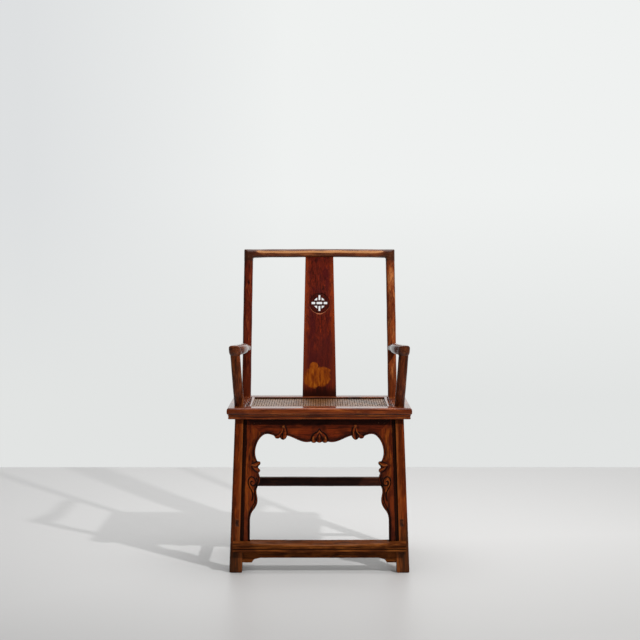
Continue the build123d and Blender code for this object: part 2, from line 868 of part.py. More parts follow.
def front_apron_top():
    edge = half_bay(leg_face_x)
    start = (0.0, -arch_middle_depth)
    right = front_top_strokes(edge)
    left = mirrored_strokes(start, right)
    face = outline((arch_mitre - edge, -arch_mitre), *left, *right, [(edge, 0.0)], [(-edge, 0.0)])
    board = board_in_bay(front_bay(), face, foot_rail_top)
    for inset, drop in zip(apron_peg_insets, apron_peg_drops):
        for turn in (-1, 1):
            board = board - apron_peg(turn, inset, drop, joint_gap)
    return board


def apron_peg(turn, inset, drop, grow=0.0):
    """Peg near a corner of the front arch."""
    place = Pos(turn * (half_bay(leg_face_x) - inset), -drop, -apron_setback + peg_proud + grow)
    length = apron_thickness + peg_proud + 2 * grow
    return front_bay() * place * Cylinder(
        apron_peg_diameter / 2 + grow, length, align=(Align.CENTER, Align.CENTER, Align.MAX))


def front_side_strokes(edge):
    """Inner edge of the right upright, from the mitre down to the foot rail."""
    return [
        laid_out(edge, 0, (-4.03, -6.66), (-3.05, -8.90), (-2.80, -11.20), (-3.30, -13.17)),
        laid_out(edge, 0, (-3.75, -13.75), (-4.36, -13.76)),
        laid_out(edge, 0, (-4.48, -14.35), (-4.10, -14.90)),
        laid_out(edge, 0, (-3.82, -15.30), (-3.76, -15.84)),
        laid_out(edge, 0, (-4.26, -16.20), (-4.22, -17.00)),
        laid_out(edge, 0, (-3.90, -17.35)),
        laid_out(edge, 0, (-4.20, -18.30), (-4.36, -19.80), (-3.40, -22.10), (-3.20, -23.40),
                 (-3.54, -25.90), (-2.75, -28.55), (-1.75, -29.90), (-1.25, -31.30), (-1.12, -32.60)),
    ]


def front_apron_side():
    edge = half_bay(leg_face_x)
    deep = rail_underside - foot_rail_top + apron_thickness
    face = outline(
        (edge - arch_mitre, -arch_mitre), *front_side_strokes(edge), laid_out(edge, -deep, (-1.06, 0)),
        [(edge + leg_inner_slope * deep, -deep)], [(edge, 0.0)])
    board = board_in_bay(front_bay(), face, foot_rail_top)
    return board + mitred_tongue(front_tongue(), front_bay(), edge)


def mitred_tongue(tongue, plane, edge):
    """The tongue without the stretch above the mitre, which ends in the corner under the frame."""
    reach = 3 * tongue_depth
    upper = Polygon((edge - reach, -reach), (edge - reach, reach), (edge + reach, reach),
                    (edge + reach, 0), (edge, 0), align=None)
    return tongue - plate(plane, upper, -2 * apron_thickness, apron_thickness)


def side_top_strokes(edge):
    """Right half of a plain side arch, from the middle to the mitre."""
    corner = edge - side_apron_height
    low = -side_apron_height
    return [
        [(corner - side_apron_run, low + side_apron_step)],
        laid_out(corner, low, (-3.4, -0.5), (-1.6, -0.2), (0, 0)),
    ]


def side_apron_top():
    edge = half_bay(leg_face_y)
    corner = edge - side_apron_height
    start = (0.0, side_apron_step - side_apron_height)
    right = side_top_strokes(edge)
    left = mirrored_strokes(start, right)
    face = outline((-corner, -side_apron_height), *left, *right, [(edge, 0.0)], [(-edge, 0.0)])
    return board_in_bay(side_bay(), face, side_foot())


def side_apron_upright():
    """Upright of the right side arch at the rear leg."""
    edge = half_bay(leg_face_y)
    corner = edge - side_apron_height
    deep = rail_underside - side_foot() + apron_thickness
    waist = edge - side_apron_width
    foot = edge - side_apron_foot_width + leg_inner_slope * deep
    turn = side_apron_height + side_apron_corner
    inner = laid_out(corner, -side_apron_height, (0.8, -0.9))
    inner += laid_out(waist, -turn, (0.1, 0), (0.15, -3.0))
    inner += laid_out(foot, -deep, (-0.3, 6.0), (0, 0))
    face = outline((corner, -side_apron_height), inner,
                   [(edge + leg_inner_slope * deep, -deep)], [(edge, 0.0)])
    board = board_in_bay(side_bay(), face, side_foot())
    return board + mitred_tongue(side_tongue(), side_bay(), edge)


def back_apron():
    edge = half_bay(leg_face_x)
    out = edge + leg_inner_slope * back_apron_bracket
    inner = edge - back_apron_bracket_width
    foot = out - back_apron_bracket_foot
    right = [laid_out(inner, -back_apron_height, (0.8, -0.6)) + [(foot, -back_apron_bracket)],
             [(out, -back_apron_bracket)], [(edge, 0.0)]]
    left = mirrored_strokes((inner, -back_apron_height), right)
    face = outline((-edge, 0.0), *left, [(inner, -back_apron_height)], *right)
    board = board_in_bay(back_bay(), face, 0.0)
    tongue = back_tongue()
    return board + tongue + to_left(tongue)


# ---- Foot rail and stretchers


def foot_rail_front():
    """Y of the foot rail's front edge."""
    drop = rail_underside - foot_rail_top
    return -(leg_face_y + leg_splay * drop / rail_underside + foot_rail_lap)


def foot_rail_section():
    """Section of the foot rail: X runs forwards from its back edge, Y up from its underside."""
    w = foot_rail_depth
    t = foot_rail_thickness
    reed_low = foot_bead_height + foot_groove_height
    reed_top = reed_low + foot_reed_height
    round_low = reed_top + foot_groove_height
    return outline(
        (0, 0),
        [(w - foot_bead_shoulder, 0)],
        [(w - foot_bead_setback, foot_bead_height / 2), (w - foot_bead_shoulder, foot_bead_height)],
        [(w - foot_groove_setback, foot_bead_height + foot_groove_height / 2)],
        [(w - foot_reed_shoulder, reed_low)],
        [(w - foot_reed_setback, (reed_low + reed_top) / 2), (w - foot_reed_shoulder, reed_top)],
        [(w - foot_groove_setback, reed_top + foot_groove_height / 2)],
        [(w - foot_round_shoulder, round_low)],
        [(w, t - foot_round_height), (w - foot_round_inset, t)],
        [(0, t)],
    )


def foot_rail_tenon(grow=0.0):
    """Blind tenon of the foot rail into the right front leg."""
    middle = foot_rail_top - foot_rail_thickness / 2
    x, y, width = leg_centre(middle)
    inner = x - width / 2
    return block(
        (inner - foot_tenon_depth, -y - foot_tenon_width / 2 - grow, middle - foot_tenon_height / 2 - grow),
        (inner + foot_tenon_depth + grow, -y + foot_tenon_width / 2 + grow,
         middle + foot_tenon_height / 2 + grow))


def foot_rail():
    back = foot_rail_front() + foot_rail_depth
    plane = Plane(origin=(0, back, foot_rail_bottom), x_dir=(0, -1, 0), z_dir=(-1, 0, 0))
    rail = plate(plane, foot_rail_section(), -foot_rail_length / 2, foot_rail_length / 2)
    legs = to_front(leg_block(shell_gap))
    rail = rail - legs - to_left(legs)
    tenon = foot_rail_tenon()
    rail = rail + tenon + to_left(tenon)
    radius = foot_rail_wear_width ** 2 / 8 / foot_rail_wear
    slope = math.degrees(math.atan2(foot_rail_wear, foot_rail_depth))
    hollow = Pos(0, back, foot_rail_top) * Rot(90 + slope, 0, 0) * Pos(0, radius, 0) * Cylinder(
        radius, 4 * foot_rail_depth)
    return rail - hollow


def foot_rail_apron():
    """Plain apron under the foot rail, with a bracket at each leg."""
    x, y, width = leg_centre(foot_rail_bottom)
    edge = x - width / 2 - shell_gap
    deep_edge = edge + leg_inner_slope * foot_bracket_height
    step = edge - foot_bracket_width
    run = step - foot_bracket_run
    right = [
        laid_out(step, -foot_apron_height, (0, -0.4)),
        laid_out(step, -foot_apron_height, (0.5, -0.8)) + [(step + foot_bracket_curl, -foot_bracket_height)],
        [(deep_edge, -foot_bracket_height)],
        [(edge, 0.0)],
    ]
    left = mirrored_strokes((run, -foot_apron_height), right)
    face = outline((-edge, 0.0), *left, [(run, -foot_apron_height)], *right)
    front = -(y + width / 2) + foot_apron_setback
    plane = Plane(origin=(0, front, foot_rail_bottom), x_dir=(1, 0, 0), z_dir=(0, -1, 0))
    return plate(plane, face, -foot_apron_thickness, 0)


def rounded_bar(length, width, thickness):
    """Bar along X with rounded long edges, its middle at the origin."""
    face = RectangleRounded(width, thickness, stretcher_round)
    return plate(Plane.YZ, face, -length / 2, length / 2)


def side_stretcher_tenon(grow=0.0):
    """Through tenon of the right side stretcher in the rear leg, flush with the leg's outer face."""
    x, y, width = leg_centre(side_stretcher_height)
    tenon = block(
        (x - side_tenon_width / 2 - grow, y - width, side_stretcher_height - side_tenon_height / 2 - grow),
        (x + side_tenon_width / 2 + grow, y + 2 * width,
         side_stretcher_height + side_tenon_height / 2 + grow))
    if grow:
        return tenon
    return tenon & leg_block()


def side_stretcher():
    x, y, width = leg_centre(side_stretcher_height)
    bar = Rot(0, 0, 90) * rounded_bar(2 * y, side_stretcher_width, side_stretcher_thickness)
    bar = Pos(x, 0, side_stretcher_height) * bar
    leg = leg_block()
    tenon = side_stretcher_tenon()
    return bar - leg - to_front(leg) + tenon + to_front(tenon)


def back_stretcher_tenon(grow=0.0):
    """Blind tenon of the back stretcher into the right rear leg."""
    x, y, width = leg_centre(back_stretcher_height)
    inner = x - width / 2
    return block(
        (inner - back_tenon_depth, y - back_tenon_width / 2 - grow,
         back_stretcher_height - back_tenon_height / 2 - grow),
        (inner + back_tenon_depth + grow, y + back_tenon_width / 2 + grow,
         back_stretcher_height + back_tenon_height / 2 + grow))


def back_stretcher():
    x, y, width = leg_centre(back_stretcher_height)
    bar = Pos(0, y, back_stretcher_height) * rounded_bar(
        2 * x, back_stretcher_width, back_stretcher_thickness)
    leg = leg_block()
    tenon = back_stretcher_tenon()
    return bar - leg - to_left(leg) + tenon + to_left(tenon)


def joint_pegs():
    """All wooden pegs, each a solid of its own."""
    pegs = [crest_peg(), to_left(crest_peg()), arm_peg(), to_left(arm_peg())]
    for inset, drop in zip(apron_peg_insets, apron_peg_drops):
        for turn in (-1, 1):
            pegs.append(apron_peg(turn, inset, drop))
    group = Part()
    for peg in pegs:
        group = group + peg
    return group


def all_pieces():
    """Every node by name, in the frame where the pieces are made."""
    strip_long = press_strip(half_width - rail_face - joint_gap, half_depth - rail_face - joint_gap)
    strip_short = press_strip(half_depth - rail_face - joint_gap, half_width - rail_face - joint_gap)
    pieces = {
        "crest_rail": crest_rail(),
        "back_splat": back_splat(),
        "seat_rail_front": long_rail(rear=False),
        "seat_rail_back": long_rail(rear=True),
        "press_strip_front": to_front(strip_long),
        "press_strip_back": strip_long,
        "press_strip_right": Rot(0, 0, -90) * strip_short,
        "press_strip_left": Rot(0, 0, 90) * strip_short,
        "palm_webbing": seat_sheet(ledge_height, webbing_thickness),
        "cane_mat": seat_sheet(webbing_top, mat_thickness),
        "seat_brace_left": brace_piece(-1),
        "seat_brace_right": brace_piece(1),
        "apron_front_top": front_apron_top(),
        "apron_back": back_apron(),
        "foot_rail": foot_rail(),
        "foot_rail_apron": foot_rail_apron(),
        "stretcher_back": back_stretcher(),
        "joint_pegs": joint_pegs(),
    }
    side_upright = side_apron_upright()
    right_hand = {
        "rear_post": rear_post(),
        "front_leg": front_leg(),
        "arm_post": arm_post(),
        "arm": arm(),
        "seat_rail": side_rail(),
        "stretcher": side_stretcher(),
        "apron_front": front_apron_side(),
    }
    for name, piece in right_hand.items():
        pieces[name + "_right"] = piece
        pieces[name + "_left"] = to_left(piece)
    side_arch = {
        "top": side_apron_top(),
        "rear": side_upright,
        "front": to_front(side_upright),
    }
    for name, piece in side_arch.items():
        pieces["apron_right_" + name] = piece
        pieces["apron_left_" + name] = to_left(piece)
    return pieces


def centre_shift():
    """Moves the middle of the chair's box, from the foot rail to the crest's back, to Y = 0."""
    back = crest_end_point().Y + crest_bow + crest_depth / 2
    return -(foot_rail_front() + back) / 2


os.makedirs("parts", exist_ok=True)
shift = Location((0, centre_shift(), 0))
for node, shape in all_pieces().items():
    export_step(shape.moved(shift), "parts/" + node + ".step")
    print(node)
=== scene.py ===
import math

import bmesh
import bpy
import numpy as np
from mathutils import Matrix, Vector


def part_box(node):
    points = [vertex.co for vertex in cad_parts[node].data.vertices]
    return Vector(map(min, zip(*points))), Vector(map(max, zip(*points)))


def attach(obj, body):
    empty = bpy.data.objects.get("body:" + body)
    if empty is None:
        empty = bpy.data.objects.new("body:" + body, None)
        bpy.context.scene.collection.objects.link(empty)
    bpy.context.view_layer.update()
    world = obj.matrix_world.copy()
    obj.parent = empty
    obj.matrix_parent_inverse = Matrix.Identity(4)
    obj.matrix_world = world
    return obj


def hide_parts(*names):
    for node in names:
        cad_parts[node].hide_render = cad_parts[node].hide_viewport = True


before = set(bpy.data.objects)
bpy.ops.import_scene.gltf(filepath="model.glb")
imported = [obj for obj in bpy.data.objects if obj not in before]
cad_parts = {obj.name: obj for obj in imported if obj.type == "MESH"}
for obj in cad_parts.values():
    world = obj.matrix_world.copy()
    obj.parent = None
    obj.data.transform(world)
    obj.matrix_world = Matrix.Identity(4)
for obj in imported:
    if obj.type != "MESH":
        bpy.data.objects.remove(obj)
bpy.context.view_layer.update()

# Southern official's hat armchair. Sizes in the dictionaries are millimetres unless a note says otherwise.
# Every piece is worked out from the middle of the seat frame, then moved to where the frame has it.
mm = 0.001


def boxOf(*names):
    # Lowest and highest corner of several frame nodes, in mm from the middle of the seat.
    corners = np.array([[list(c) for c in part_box(name)] for name in names]) / mm
    return corners[:, 0].min(axis=0) - seatMiddle, corners[:, 1].max(axis=0) - seatMiddle


seatMiddle = np.zeros(3)
seatMiddle = np.array([*(sum(boxOf("cane_mat")) / 2)[:2], 0.0])
matLow, matHigh = boxOf("cane_mat")
seatLow, seatHigh = boxOf("seat_rail_front", "seat_rail_back", "seat_rail_left", "seat_rail_right")
halfWidth, halfDepth, seatTop = seatHigh
seatUnder = seatLow[2]


def ripple(x, y, size=1.0):
    # A fixed, smooth unevenness from -1 to 1: three crossing sine waves of unlike lengths added up.
    x, y = x / size, y / size
    return (np.sin(1.9 * x + 1.3 * y + 0.7) + np.sin(-1.1 * x + 2.3 * y + 2.1)
            + np.sin(3.1 * x - 0.6 * y + 4.0)) / 3


def bump(distance, width):
    # A smooth hill, 1 in the middle and almost 0 two widths away.
    return np.exp(-(distance / width) ** 2)


def ease(value, low, high):
    # Goes smoothly from 0 at low to 1 at high.
    t = np.clip((value - low) / (high - low), 0, 1)
    return t * t * (3 - 2 * t)


def parabola(start, pull, end, t):
    # Runs from start to end, drawn towards the pull: (1-t)^2 start + 2t(1-t) pull + t^2 end.
    return (1 - t) ** 2 * start + 2 * t * (1 - t) * pull + t ** 2 * end


def smoothLine(points, perSpan=6):
    # Curve through every point: a Catmull-Rom cubic on each span, worked out for all spans at once.
    p = np.asarray(points, float)
    p = np.concatenate([2 * p[:1] - p[1:2], p, 2 * p[-1:] - p[-2:-1]])
    a, b, c, d = p[:-3, None], p[1:-2, None], p[2:-1, None], p[3:, None]
    t = (np.arange(perSpan) / perSpan)[None, :, None]
    curve = 2 * b + (c - a) * t + (2 * a - 5 * b + 4 * c - d) * t ** 2 + (3 * b - a - 3 * c + d) * t ** 3
    return np.concatenate([0.5 * curve.reshape(-1, p.shape[1]), p[-2:-1]])


def pulledLine(points, perSpan):
    # Curve that each inner point pulls without being touched: parabolas between the middles of the runs.
    p = np.asarray(points, float)
    middle = (p[1:] + p[:-1]) / 2
    start = np.concatenate([p[:1], middle[1:-1]])[:, None]
    end = np.concatenate([middle[1:-1], p[-1:]])[:, None]
    curve = parabola(start, p[1:-1, None], end, (np.arange(perSpan) / perSpan)[None, :, None])
    return np.concatenate([curve.reshape(-1, p.shape[1]), p[-1:]])


def distanceTo(points, line):
    # Shortest distance from each point to a line of straight runs: the point's foot on every run, held to
    # the run's ends, and the nearest one kept.
    start, run = line[None, :-1], (line[1:] - line[:-1])[None]
    away = points[:, None] - start
    part = np.clip((away * run).sum(-1) / np.maximum((run ** 2).sum(-1), 1e-9), 0, 1)
    return np.sqrt(((away - part[..., None] * run) ** 2).sum(-1)).min(axis=1)


def roundCorners(corners, radii, steps, between=0):
    # Each corner becomes a parabola that starts and ends one radius away, or 0.45 of the shorter side.
    # Further even points may be put on the straight runs in between.
    corners = np.asarray(corners, float)
    radii = np.broadcast_to(np.asarray(radii, float), len(corners))
    before = np.roll(corners, 1, axis=0) - corners
    after = np.roll(corners, -1, axis=0) - corners
    lengthBefore = np.linalg.norm(before, axis=1, keepdims=True)
    lengthAfter = np.linalg.norm(after, axis=1, keepdims=True)
    reach = np.minimum(radii[:, None], 0.45 * np.minimum(lengthBefore, lengthAfter))
    start = (corners + before / lengthBefore * reach)[:, None]
    end = (corners + after / lengthAfter * reach)[:, None]
    bends = parabola(start, corners[:, None], end, np.linspace(0, 1, steps)[None, :, None])
    t = np.linspace(0, 1, between + 2)[None, 1:-1, None]
    runs = (1 - t) * end + t * np.roll(start, -1, axis=0)
    return np.concatenate([bends, runs], axis=1).reshape(-1, 2)


def roundedBox(wide, high, radius, steps):
    # Closed ring of a rectangle about its middle, with rounded corners.
    x, y = wide / 2, high / 2
    return roundCorners([(x, y), (-x, y), (-x, -y), (x, -y)], radius, steps)


def circleRing(radius, count):
    # Even points on a circle.
    angle = np.linspace(0, 2 * math.pi, count, endpoint=False)
    return radius * np.stack([np.cos(angle), np.sin(angle)], axis=-1)


def fillSides(ring, spacing):
    # Adds even points wherever two neighbours of a closed ring lie further apart than the spacing.
    step = np.roll(ring, -1, axis=0) - ring
    count = np.maximum(1, np.ceil(np.linalg.norm(step, axis=1) / spacing)).astype(int)
    start = np.repeat(np.arange(len(ring)), count)
    part = (np.arange(len(start)) - np.repeat(np.cumsum(count) - count, count)) / np.repeat(count, count)
    return ring[start] + step[start] * part[:, None]


def edgeTone(ring, blur=3.0):
    # Wear on a profile's outward corners, and dirt with painted shade in its inward ones: how sharply the
    # ring turns, blurred along its length with a smooth hill.
    before, after = ring - np.roll(ring, 1, axis=0), np.roll(ring, -1, axis=0) - ring
    turn = before[:, 0] * after[:, 1] - before[:, 1] * after[:, 0]
    turn = np.arctan2(turn, (before * after).sum(axis=1))
    area = (ring[:, 0] * np.roll(ring[:, 1], -1) - ring[:, 1] * np.roll(ring[:, 0], -1)).sum()
    apart = np.linalg.norm(ring[:, None] - ring[None], axis=-1)
    blurred = (bump(apart, blur) * turn[None] * np.sign(area)).sum(axis=1)
    return np.clip(blurred, 0, 1), np.clip(-1.6 * blurred, 0, 1)


def carry(path, profile, sideways):
    # Carries a profile along a path: every row stands square to the path, with the profile's first axis
    # turned as near to the sideways direction as it can be.
    along = np.gradient(path, axis=0)
    along /= np.linalg.norm(along, axis=1, keepdims=True)
    across = np.asarray(sideways, float) - along * (along @ np.asarray(sideways, float))[:, None]
    across /= np.linalg.norm(across, axis=1, keepdims=True)
    upright = np.cross(along, across)
    profile = np.broadcast_to(profile, (len(path), *np.shape(profile)[-2:]))
    return path[:, None] + profile[..., :1] * across[:, None] + profile[..., 1:] * upright[:, None]


def softEnds(rows, soft):
    # Rounds both end edges of a tube: two smaller rings, moved back along the tube by less and less.
    def ending(last, before):
        # The end ring moved back whole, then in part and drawn in, then drawn in by the whole softening.
        middle = last.mean(axis=0)
        back = before.mean(axis=0) - middle
        back = back / np.linalg.norm(back) * soft
        out = last - middle
        size = np.maximum(np.linalg.norm(out, axis=1, keepdims=True), soft)
        return [last + back, last + 0.3 * back - out / size * 0.3 * soft, last - out / size * soft]
    first, last = ending(rows[0], rows[1]), ending(rows[-1], rows[-2])
    return np.concatenate([np.array(first[::-1]), rows[1:-1], np.array(last)])


def ringFaces(rows, columns):
    # Four-sided faces between neighbouring rows of closed rings.
    row = np.arange(rows - 1)[:, None] * columns
    column = np.arange(columns)[None]
    after = (column + 1) % columns
    far = row + columns
    return np.stack([row + column, row + after, far + after, far + column], -1).reshape(-1, 4)


def facesInwards(points, faces):
    # The faces point inwards where the volume that they enclose counts as negative.
    a, b, c = (points[faces[:, k]] - points.mean(axis=0) for k in range(3))
    return (a * np.cross(b, c)).sum() < 0


def tube(rows, wear=0.0, dirtAndShade=0.0):
    # A closed skin over rows of rings, facing outwards. Each end is a fan about its ring's middle.
    count, columns = rows.shape[:2]
    flat = rows.reshape(-1, 3)
    points = np.concatenate([flat, rows[:1].mean(axis=1), rows[-1:].mean(axis=1)])
    quads = ringFaces(count, columns)
    ring = np.arange(columns)
    after = (ring + 1) % columns
    far = (count - 1) * columns
    fans = np.concatenate([np.stack([after, ring, np.full(columns, len(flat))], -1),
                           np.stack([ring + far, after + far, np.full(columns, len(flat) + 1)], -1)])
    if facesInwards(points, np.concatenate([quads[:, :3], quads[:, [0, 2, 3]], fans])):
        quads, fans = quads[:, ::-1], fans[:, ::-1]
    tones = [np.append(np.broadcast_to(tone, (count, columns)), [0.0, 0.0]) for tone in (wear, dirtAndShade)]
    return points, quads, fans, tones


def meshPoints(mesh):
    # All points of a mesh as one array.
    points = np.zeros(len(mesh.vertices) * 3)
    mesh.vertices.foreach_get("co", points)
    return points.reshape(-1, 3)


def solidPoints(nodeName):
    # The points of a frame solid, in mm from the middle of the seat.
    return meshPoints(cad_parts[nodeName].data) / mm - seatMiddle


def addPiece(name, mesh, material, standsFor, sharpAbove=40):
    # Shows a finished mesh, shades it smooth up to an angle, and lets it ride on the chair.
    mesh.materials.clear()
    mesh.materials.append(material)
    mesh.polygons.foreach_set("use_smooth", np.ones(len(mesh.polygons), bool))
    mesh.set_sharp_from_angle(angle=math.radians(sharpAbove))
    piece = bpy.data.objects.new(name, mesh)
    bpy.context.scene.collection.objects.link(piece)
    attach(piece, "root")
    if standsFor:
        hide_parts(*standsFor)
    return piece


def makePiece(name, shells, material, slotName, *standsFor, sharpAbove=40):
    # Puts one or more skins into a mesh and moves it to the frame's place.
    start = np.cumsum([0] + [len(s[0]) for s in shells])
    points = (np.concatenate([s[0] for s in shells]) + seatMiddle) * mm
    faces = sum([(s[k] + start[i]).tolist() for i, s in enumerate(shells) for k in (1, 2)], [])
    mesh = bpy.data.meshes.new(name)
    mesh.from_pydata(points.tolist(), [], faces)
    for k, tone in enumerate(("wear", "dirtAndShade")):
        values = np.concatenate([s[3][k] for s in shells]).astype(np.float32)
        mesh.attributes.new(tone, "FLOAT", "POINT").data.foreach_set("value", values)
    return addPiece(name, mesh, material, standsFor, sharpAbove)


def makePair(name, shells, woods, slotName, nodes):
    # A right-hand piece, and its mirror image turned right side out again, each in its own wood.
    flipped = [(p * [-1, 1, 1], q[:, ::-1], f[:, ::-1], tones) for p, q, f, tones in shells]
    for side, skins, wood in (("Right", shells, woods[0]), ("Left", flipped, woods[-1])):
        makePiece(name + side, skins, wood, slotName, nodes + "_" + side.lower())


def softenedCopy(name, nodeName, material, soft):
    # A frame solid with its sharp edges eased: doubles merged, flat faces joined, then a narrow bevel.
    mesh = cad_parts[nodeName].data.copy()
    shape = bmesh.new()
    shape.from_mesh(mesh)
    bmesh.ops.remove_doubles(shape, verts=shape.verts, dist=1e-5)
    bmesh.ops.dissolve_limit(shape, angle_limit=math.radians(1.5), verts=shape.verts, edges=shape.edges)
    shape.to_mesh(mesh)
    shape.free()
    bevel = addPiece(name, mesh, material, [nodeName]).modifiers.new("eased edges", "BEVEL")
    bevel.width = soft * mm
    bevel.segments = 2
    bevel.limit_method = "ANGLE"
    bevel.angle_limit = math.radians(35)
    bevel.harden_normals = True


def colour(hexText):
    # An sRGB hex colour as the linear values that shaders use.
    value = np.array([int(hexText[i:i + 2], 16) for i in (1, 3, 5)]) / 255
    return (*np.where(value <= 0.04045, value / 12.92, ((value + 0.055) / 1.055) ** 2.4).tolist(), 1.0)


def emptyTree(owner):
    # The node tree of a new material or world, with nothing in it.
    owner.use_nodes = True
    owner.node_tree.nodes.clear()
    return owner.node_tree


def node(tree, kind, inputs=(), out=0, stops=(), **settings):
    # Adds one node and gives back one of its outputs, or all of them where out is None. Inputs are values or
    # sockets, in the node's own order or by name or number. Stops fill a colour ramp.
    made = tree.nodes.new("ShaderNode" + kind)
    for key, value in settings.items():
        setattr(made, key, value)
    for key, value in inputs.items() if isinstance(inputs, dict) else enumerate(inputs):
        if isinstance(value, bpy.types.NodeSocket):
            tree.links.new(value, made.inputs[key])
        else:
            made.inputs[key].default_value = value
    while stops and len(made.color_ramp.elements) < len(stops):
        made.color_ramp.elements.new(1.0)
    for number, (place, tint) in enumerate(stops):
        made.color_ramp.elements[number].position = place
        made.color_ramp.elements[number].color = colour(tint)
    return made.outputs if out is None else made.outputs[out]


# One entry for each thing that the eye sees in the wood: noise width and length in mm, its detail, the noise
# values between which it sets in, how strongly, and in which colour.
woodLayers = {
    "oldLacquer": (38.0, 120.0, 4.0, 0.47, 0.62, 0.85, "patch"),
    "rubbedArea": (26.0, 90.0, 4.0, 0.54, 0.70, 0.60, "light"),
    "darkStreak": (4.2, 95.0, 3.0, 0.50, 0.66, 0.75, "dark"),
    "paleStreak": (2.6, 60.0, 3.0, 0.58, 0.74, 0.45, "light"),
    "openPores": (0.9, 16.0, 2.0, 0.56, 0.72, 0.55, "dark"),
    "smallDents": (6.0, 9.0, 2.0, 0.66, 0.74, 0.60, "grimeAndShade"),
}
# Shades are (axis, distance where they start, where they are full, strength, colour). Blobs are worn spots
# (x, z, half width, half height) on what lies in front of the Y of blobsBefore.
lacquerLook = {
    "axis": 2, "dark": "#240A05", "base": "#581C0C", "light": "#8A4420", "patch": "#3A0E08",
    "worn": "#9A6034", "grimeAndShade": "#100604", "roughness": (0.34, 0.50), "shine": 0.12, "coat": 0.25,
    "coatRoughness": 0.14, "coatIor": 1.3, "wearWidth": 9.0, "wearLength": 70.0, "relief": 0.18,
    "shades": (), "blobs": (),
    "blobsBefore": 0.0, "blobEdge": (1.12, 1.28), "wearSetsIn": (0.22, 0.52, 0.8),
    "bare": ((0.34, "#5E2408"), (0.46, "#7A360A"), (0.58, "#8E460C"), (0.70, "#A86018")),
}


def lacqueredWood(name, **changes):
    # Hardwood, hand planed, stained and lacquered, then handled for generations. The eye gets long streaks of
    # figure with fine dark pores, darker pools of old lacquer, broken pale edges and grime in the hollows,
    # all under a thin clear gloss. On several pieces the wear and dirt attributes also carry painted
    # highlights and painted shade. Grain widths are a real board's; the pores are drawn coarser to show.
    look = {**lacquerLook, **changes}
    material = bpy.data.materials.new(name)
    tree = emptyTree(material)
    place = node(tree, "TexCoord", out="Object")
    parts = node(tree, "SeparateXYZ", {0: place}, None)

    def grain(width, length, detail, shift=0.0):
        # Noise stretched along the board: one unit is the width across it and the length along it.
        scale = [1 / (width * mm)] * 3
        scale[look["axis"]] = 1 / (length * mm)
        spread = node(tree, "Mapping", {"Vector": place, "Scale": scale,
                                        "Location": (shift, shift * 0.7, shift * 1.3)})
        return node(tree, "TexNoise", {"Vector": spread, "Scale": 1.0, "Detail": detail, "Roughness": 0.6,
                                       "Distortion": 0.5})

    def layer(tint, value, start, full, strength, tone):
        # Lays a tone over the tint: it sets in at one value and has its strength at another.
        amount = node(tree, "MapRange", {0: value, 1: start, 2: full, 4: strength},
                      interpolation_type="SMOOTHSTEP")
        return node(tree, "Mix", {0: amount, 6: tint, 7: colour(tone)}, 2, data_type="RGBA")

    figure = grain(8.0, 150.0, 5.0)
    tint = node(tree, "ValToRGB", {0: figure}, stops=[
        (0.34, look["dark"]), (0.46, look["base"]), (0.57, look["base"]), (0.70, look["light"])])
    for number, (width, length, detail, low, high, strength, tone) in enumerate(woodLayers.values()):
        tint = layer(tint, grain(width, length, detail, number + 1.0), low, high, strength, look[tone])
    for axis, start, end, strength, tone in look["shades"]:
        # Sets in with the distance from the chair's middle plane or with the height, broken up by the figure.
        away = node(tree, "Math", {0: parts[axis]}, operation="ABSOLUTE")
        broken = abs(end - start) * mm * 1.5
        away = node(tree, "Math", {0: figure, 1: broken, 2: away}, operation="MULTIPLY_ADD")
        tint = layer(tint, away, start * mm + broken / 2, end * mm + broken / 2, strength, tone)
    covered = None
    for x, z, wide, high in look["blobs"]:
        # Distance from the middle of a worn spot in units of its own half width and height.
        spot = node(tree, "Mapping", {"Vector": place, "Location": (-x / wide, 0, -z / high),
                                      "Scale": (1 / (wide * mm), 0, 1 / (high * mm))})
        reach = node(tree, "VectorMath", {0: spot}, "Value", operation="LENGTH")
        if covered is not None:
            reach = node(tree, "Math", {0: covered, 1: reach}, operation="MINIMUM")
        covered = reach
    if covered is not None:
        start, end = look["blobEdge"]
        ragged = node(tree, "Math", {0: grain(9.0, 11.0, 7.0), 1: 0.5, 2: covered}, operation="MULTIPLY_ADD")
        amount = node(tree, "MapRange", {0: ragged, 1: start, 2: end, 3: 1.0, 4: 0.0})
        front = node(tree, "Math", {0: parts["Y"], 1: look["blobsBefore"] * mm}, operation="LESS_THAN")
        amount = node(tree, "Math", {0: amount, 1: front}, operation="MULTIPLY")
        bare = node(tree, "ValToRGB", {0: grain(9.0, 42.0, 6.0, 7.0)}, stops=look["bare"])
        tint = node(tree, "Mix", {0: amount, 6: tint, 7: bare}, 2, data_type="RGBA")
    # The wear attribute lightens worn edges; on the crest's front and the splat's rim it is a painted
    # highlight.
    wear = node(tree, "Attribute", out="Fac", attribute_name="wear")
    broken = grain(look["wearWidth"], look["wearLength"], 3.0, 11.0)
    handled = node(tree, "Math", {0: wear, 1: broken}, operation="MULTIPLY")
    tint = layer(tint, handled, *look["wearSetsIn"], look["worn"])
    # The dirt attribute darkens towards the grime tone: real grime, and on many pieces painted shade in
    # hollows, gaps and undersides.
    dirtAndShade = node(tree, "Attribute", out="Fac", attribute_name="dirtAndShade")
    tint = node(tree, "Mix", {0: dirtAndShade, 6: tint, 7: colour(look["grimeAndShade"])}, 2, data_type="RGBA")
    smooth, dull = look["roughness"]
    rough = node(tree, "MapRange", {0: grain(30.0, 60.0, 3.0, 5.0), 1: 0.35, 2: 0.65, 3: smooth, 4: dull})
    relief = node(tree, "Bump", {"Strength": look["relief"], "Distance": 0.0006,
                                 "Height": grain(1.1, 20.0, 3.0, 3.0)})
    shader = node(tree, "BsdfPrincipled", {
        "Base Color": tint, "Roughness": rough, "IOR": 1.5, "Specular IOR Level": look["shine"],
        "Normal": relief, "Coat Weight": look["coat"], "Coat Roughness": look["coatRoughness"],
        "Coat IOR": look["coatIor"], "Coat Normal": relief})
    node(tree, "OutputMaterial", {"Surface": shader}, None)
    return material


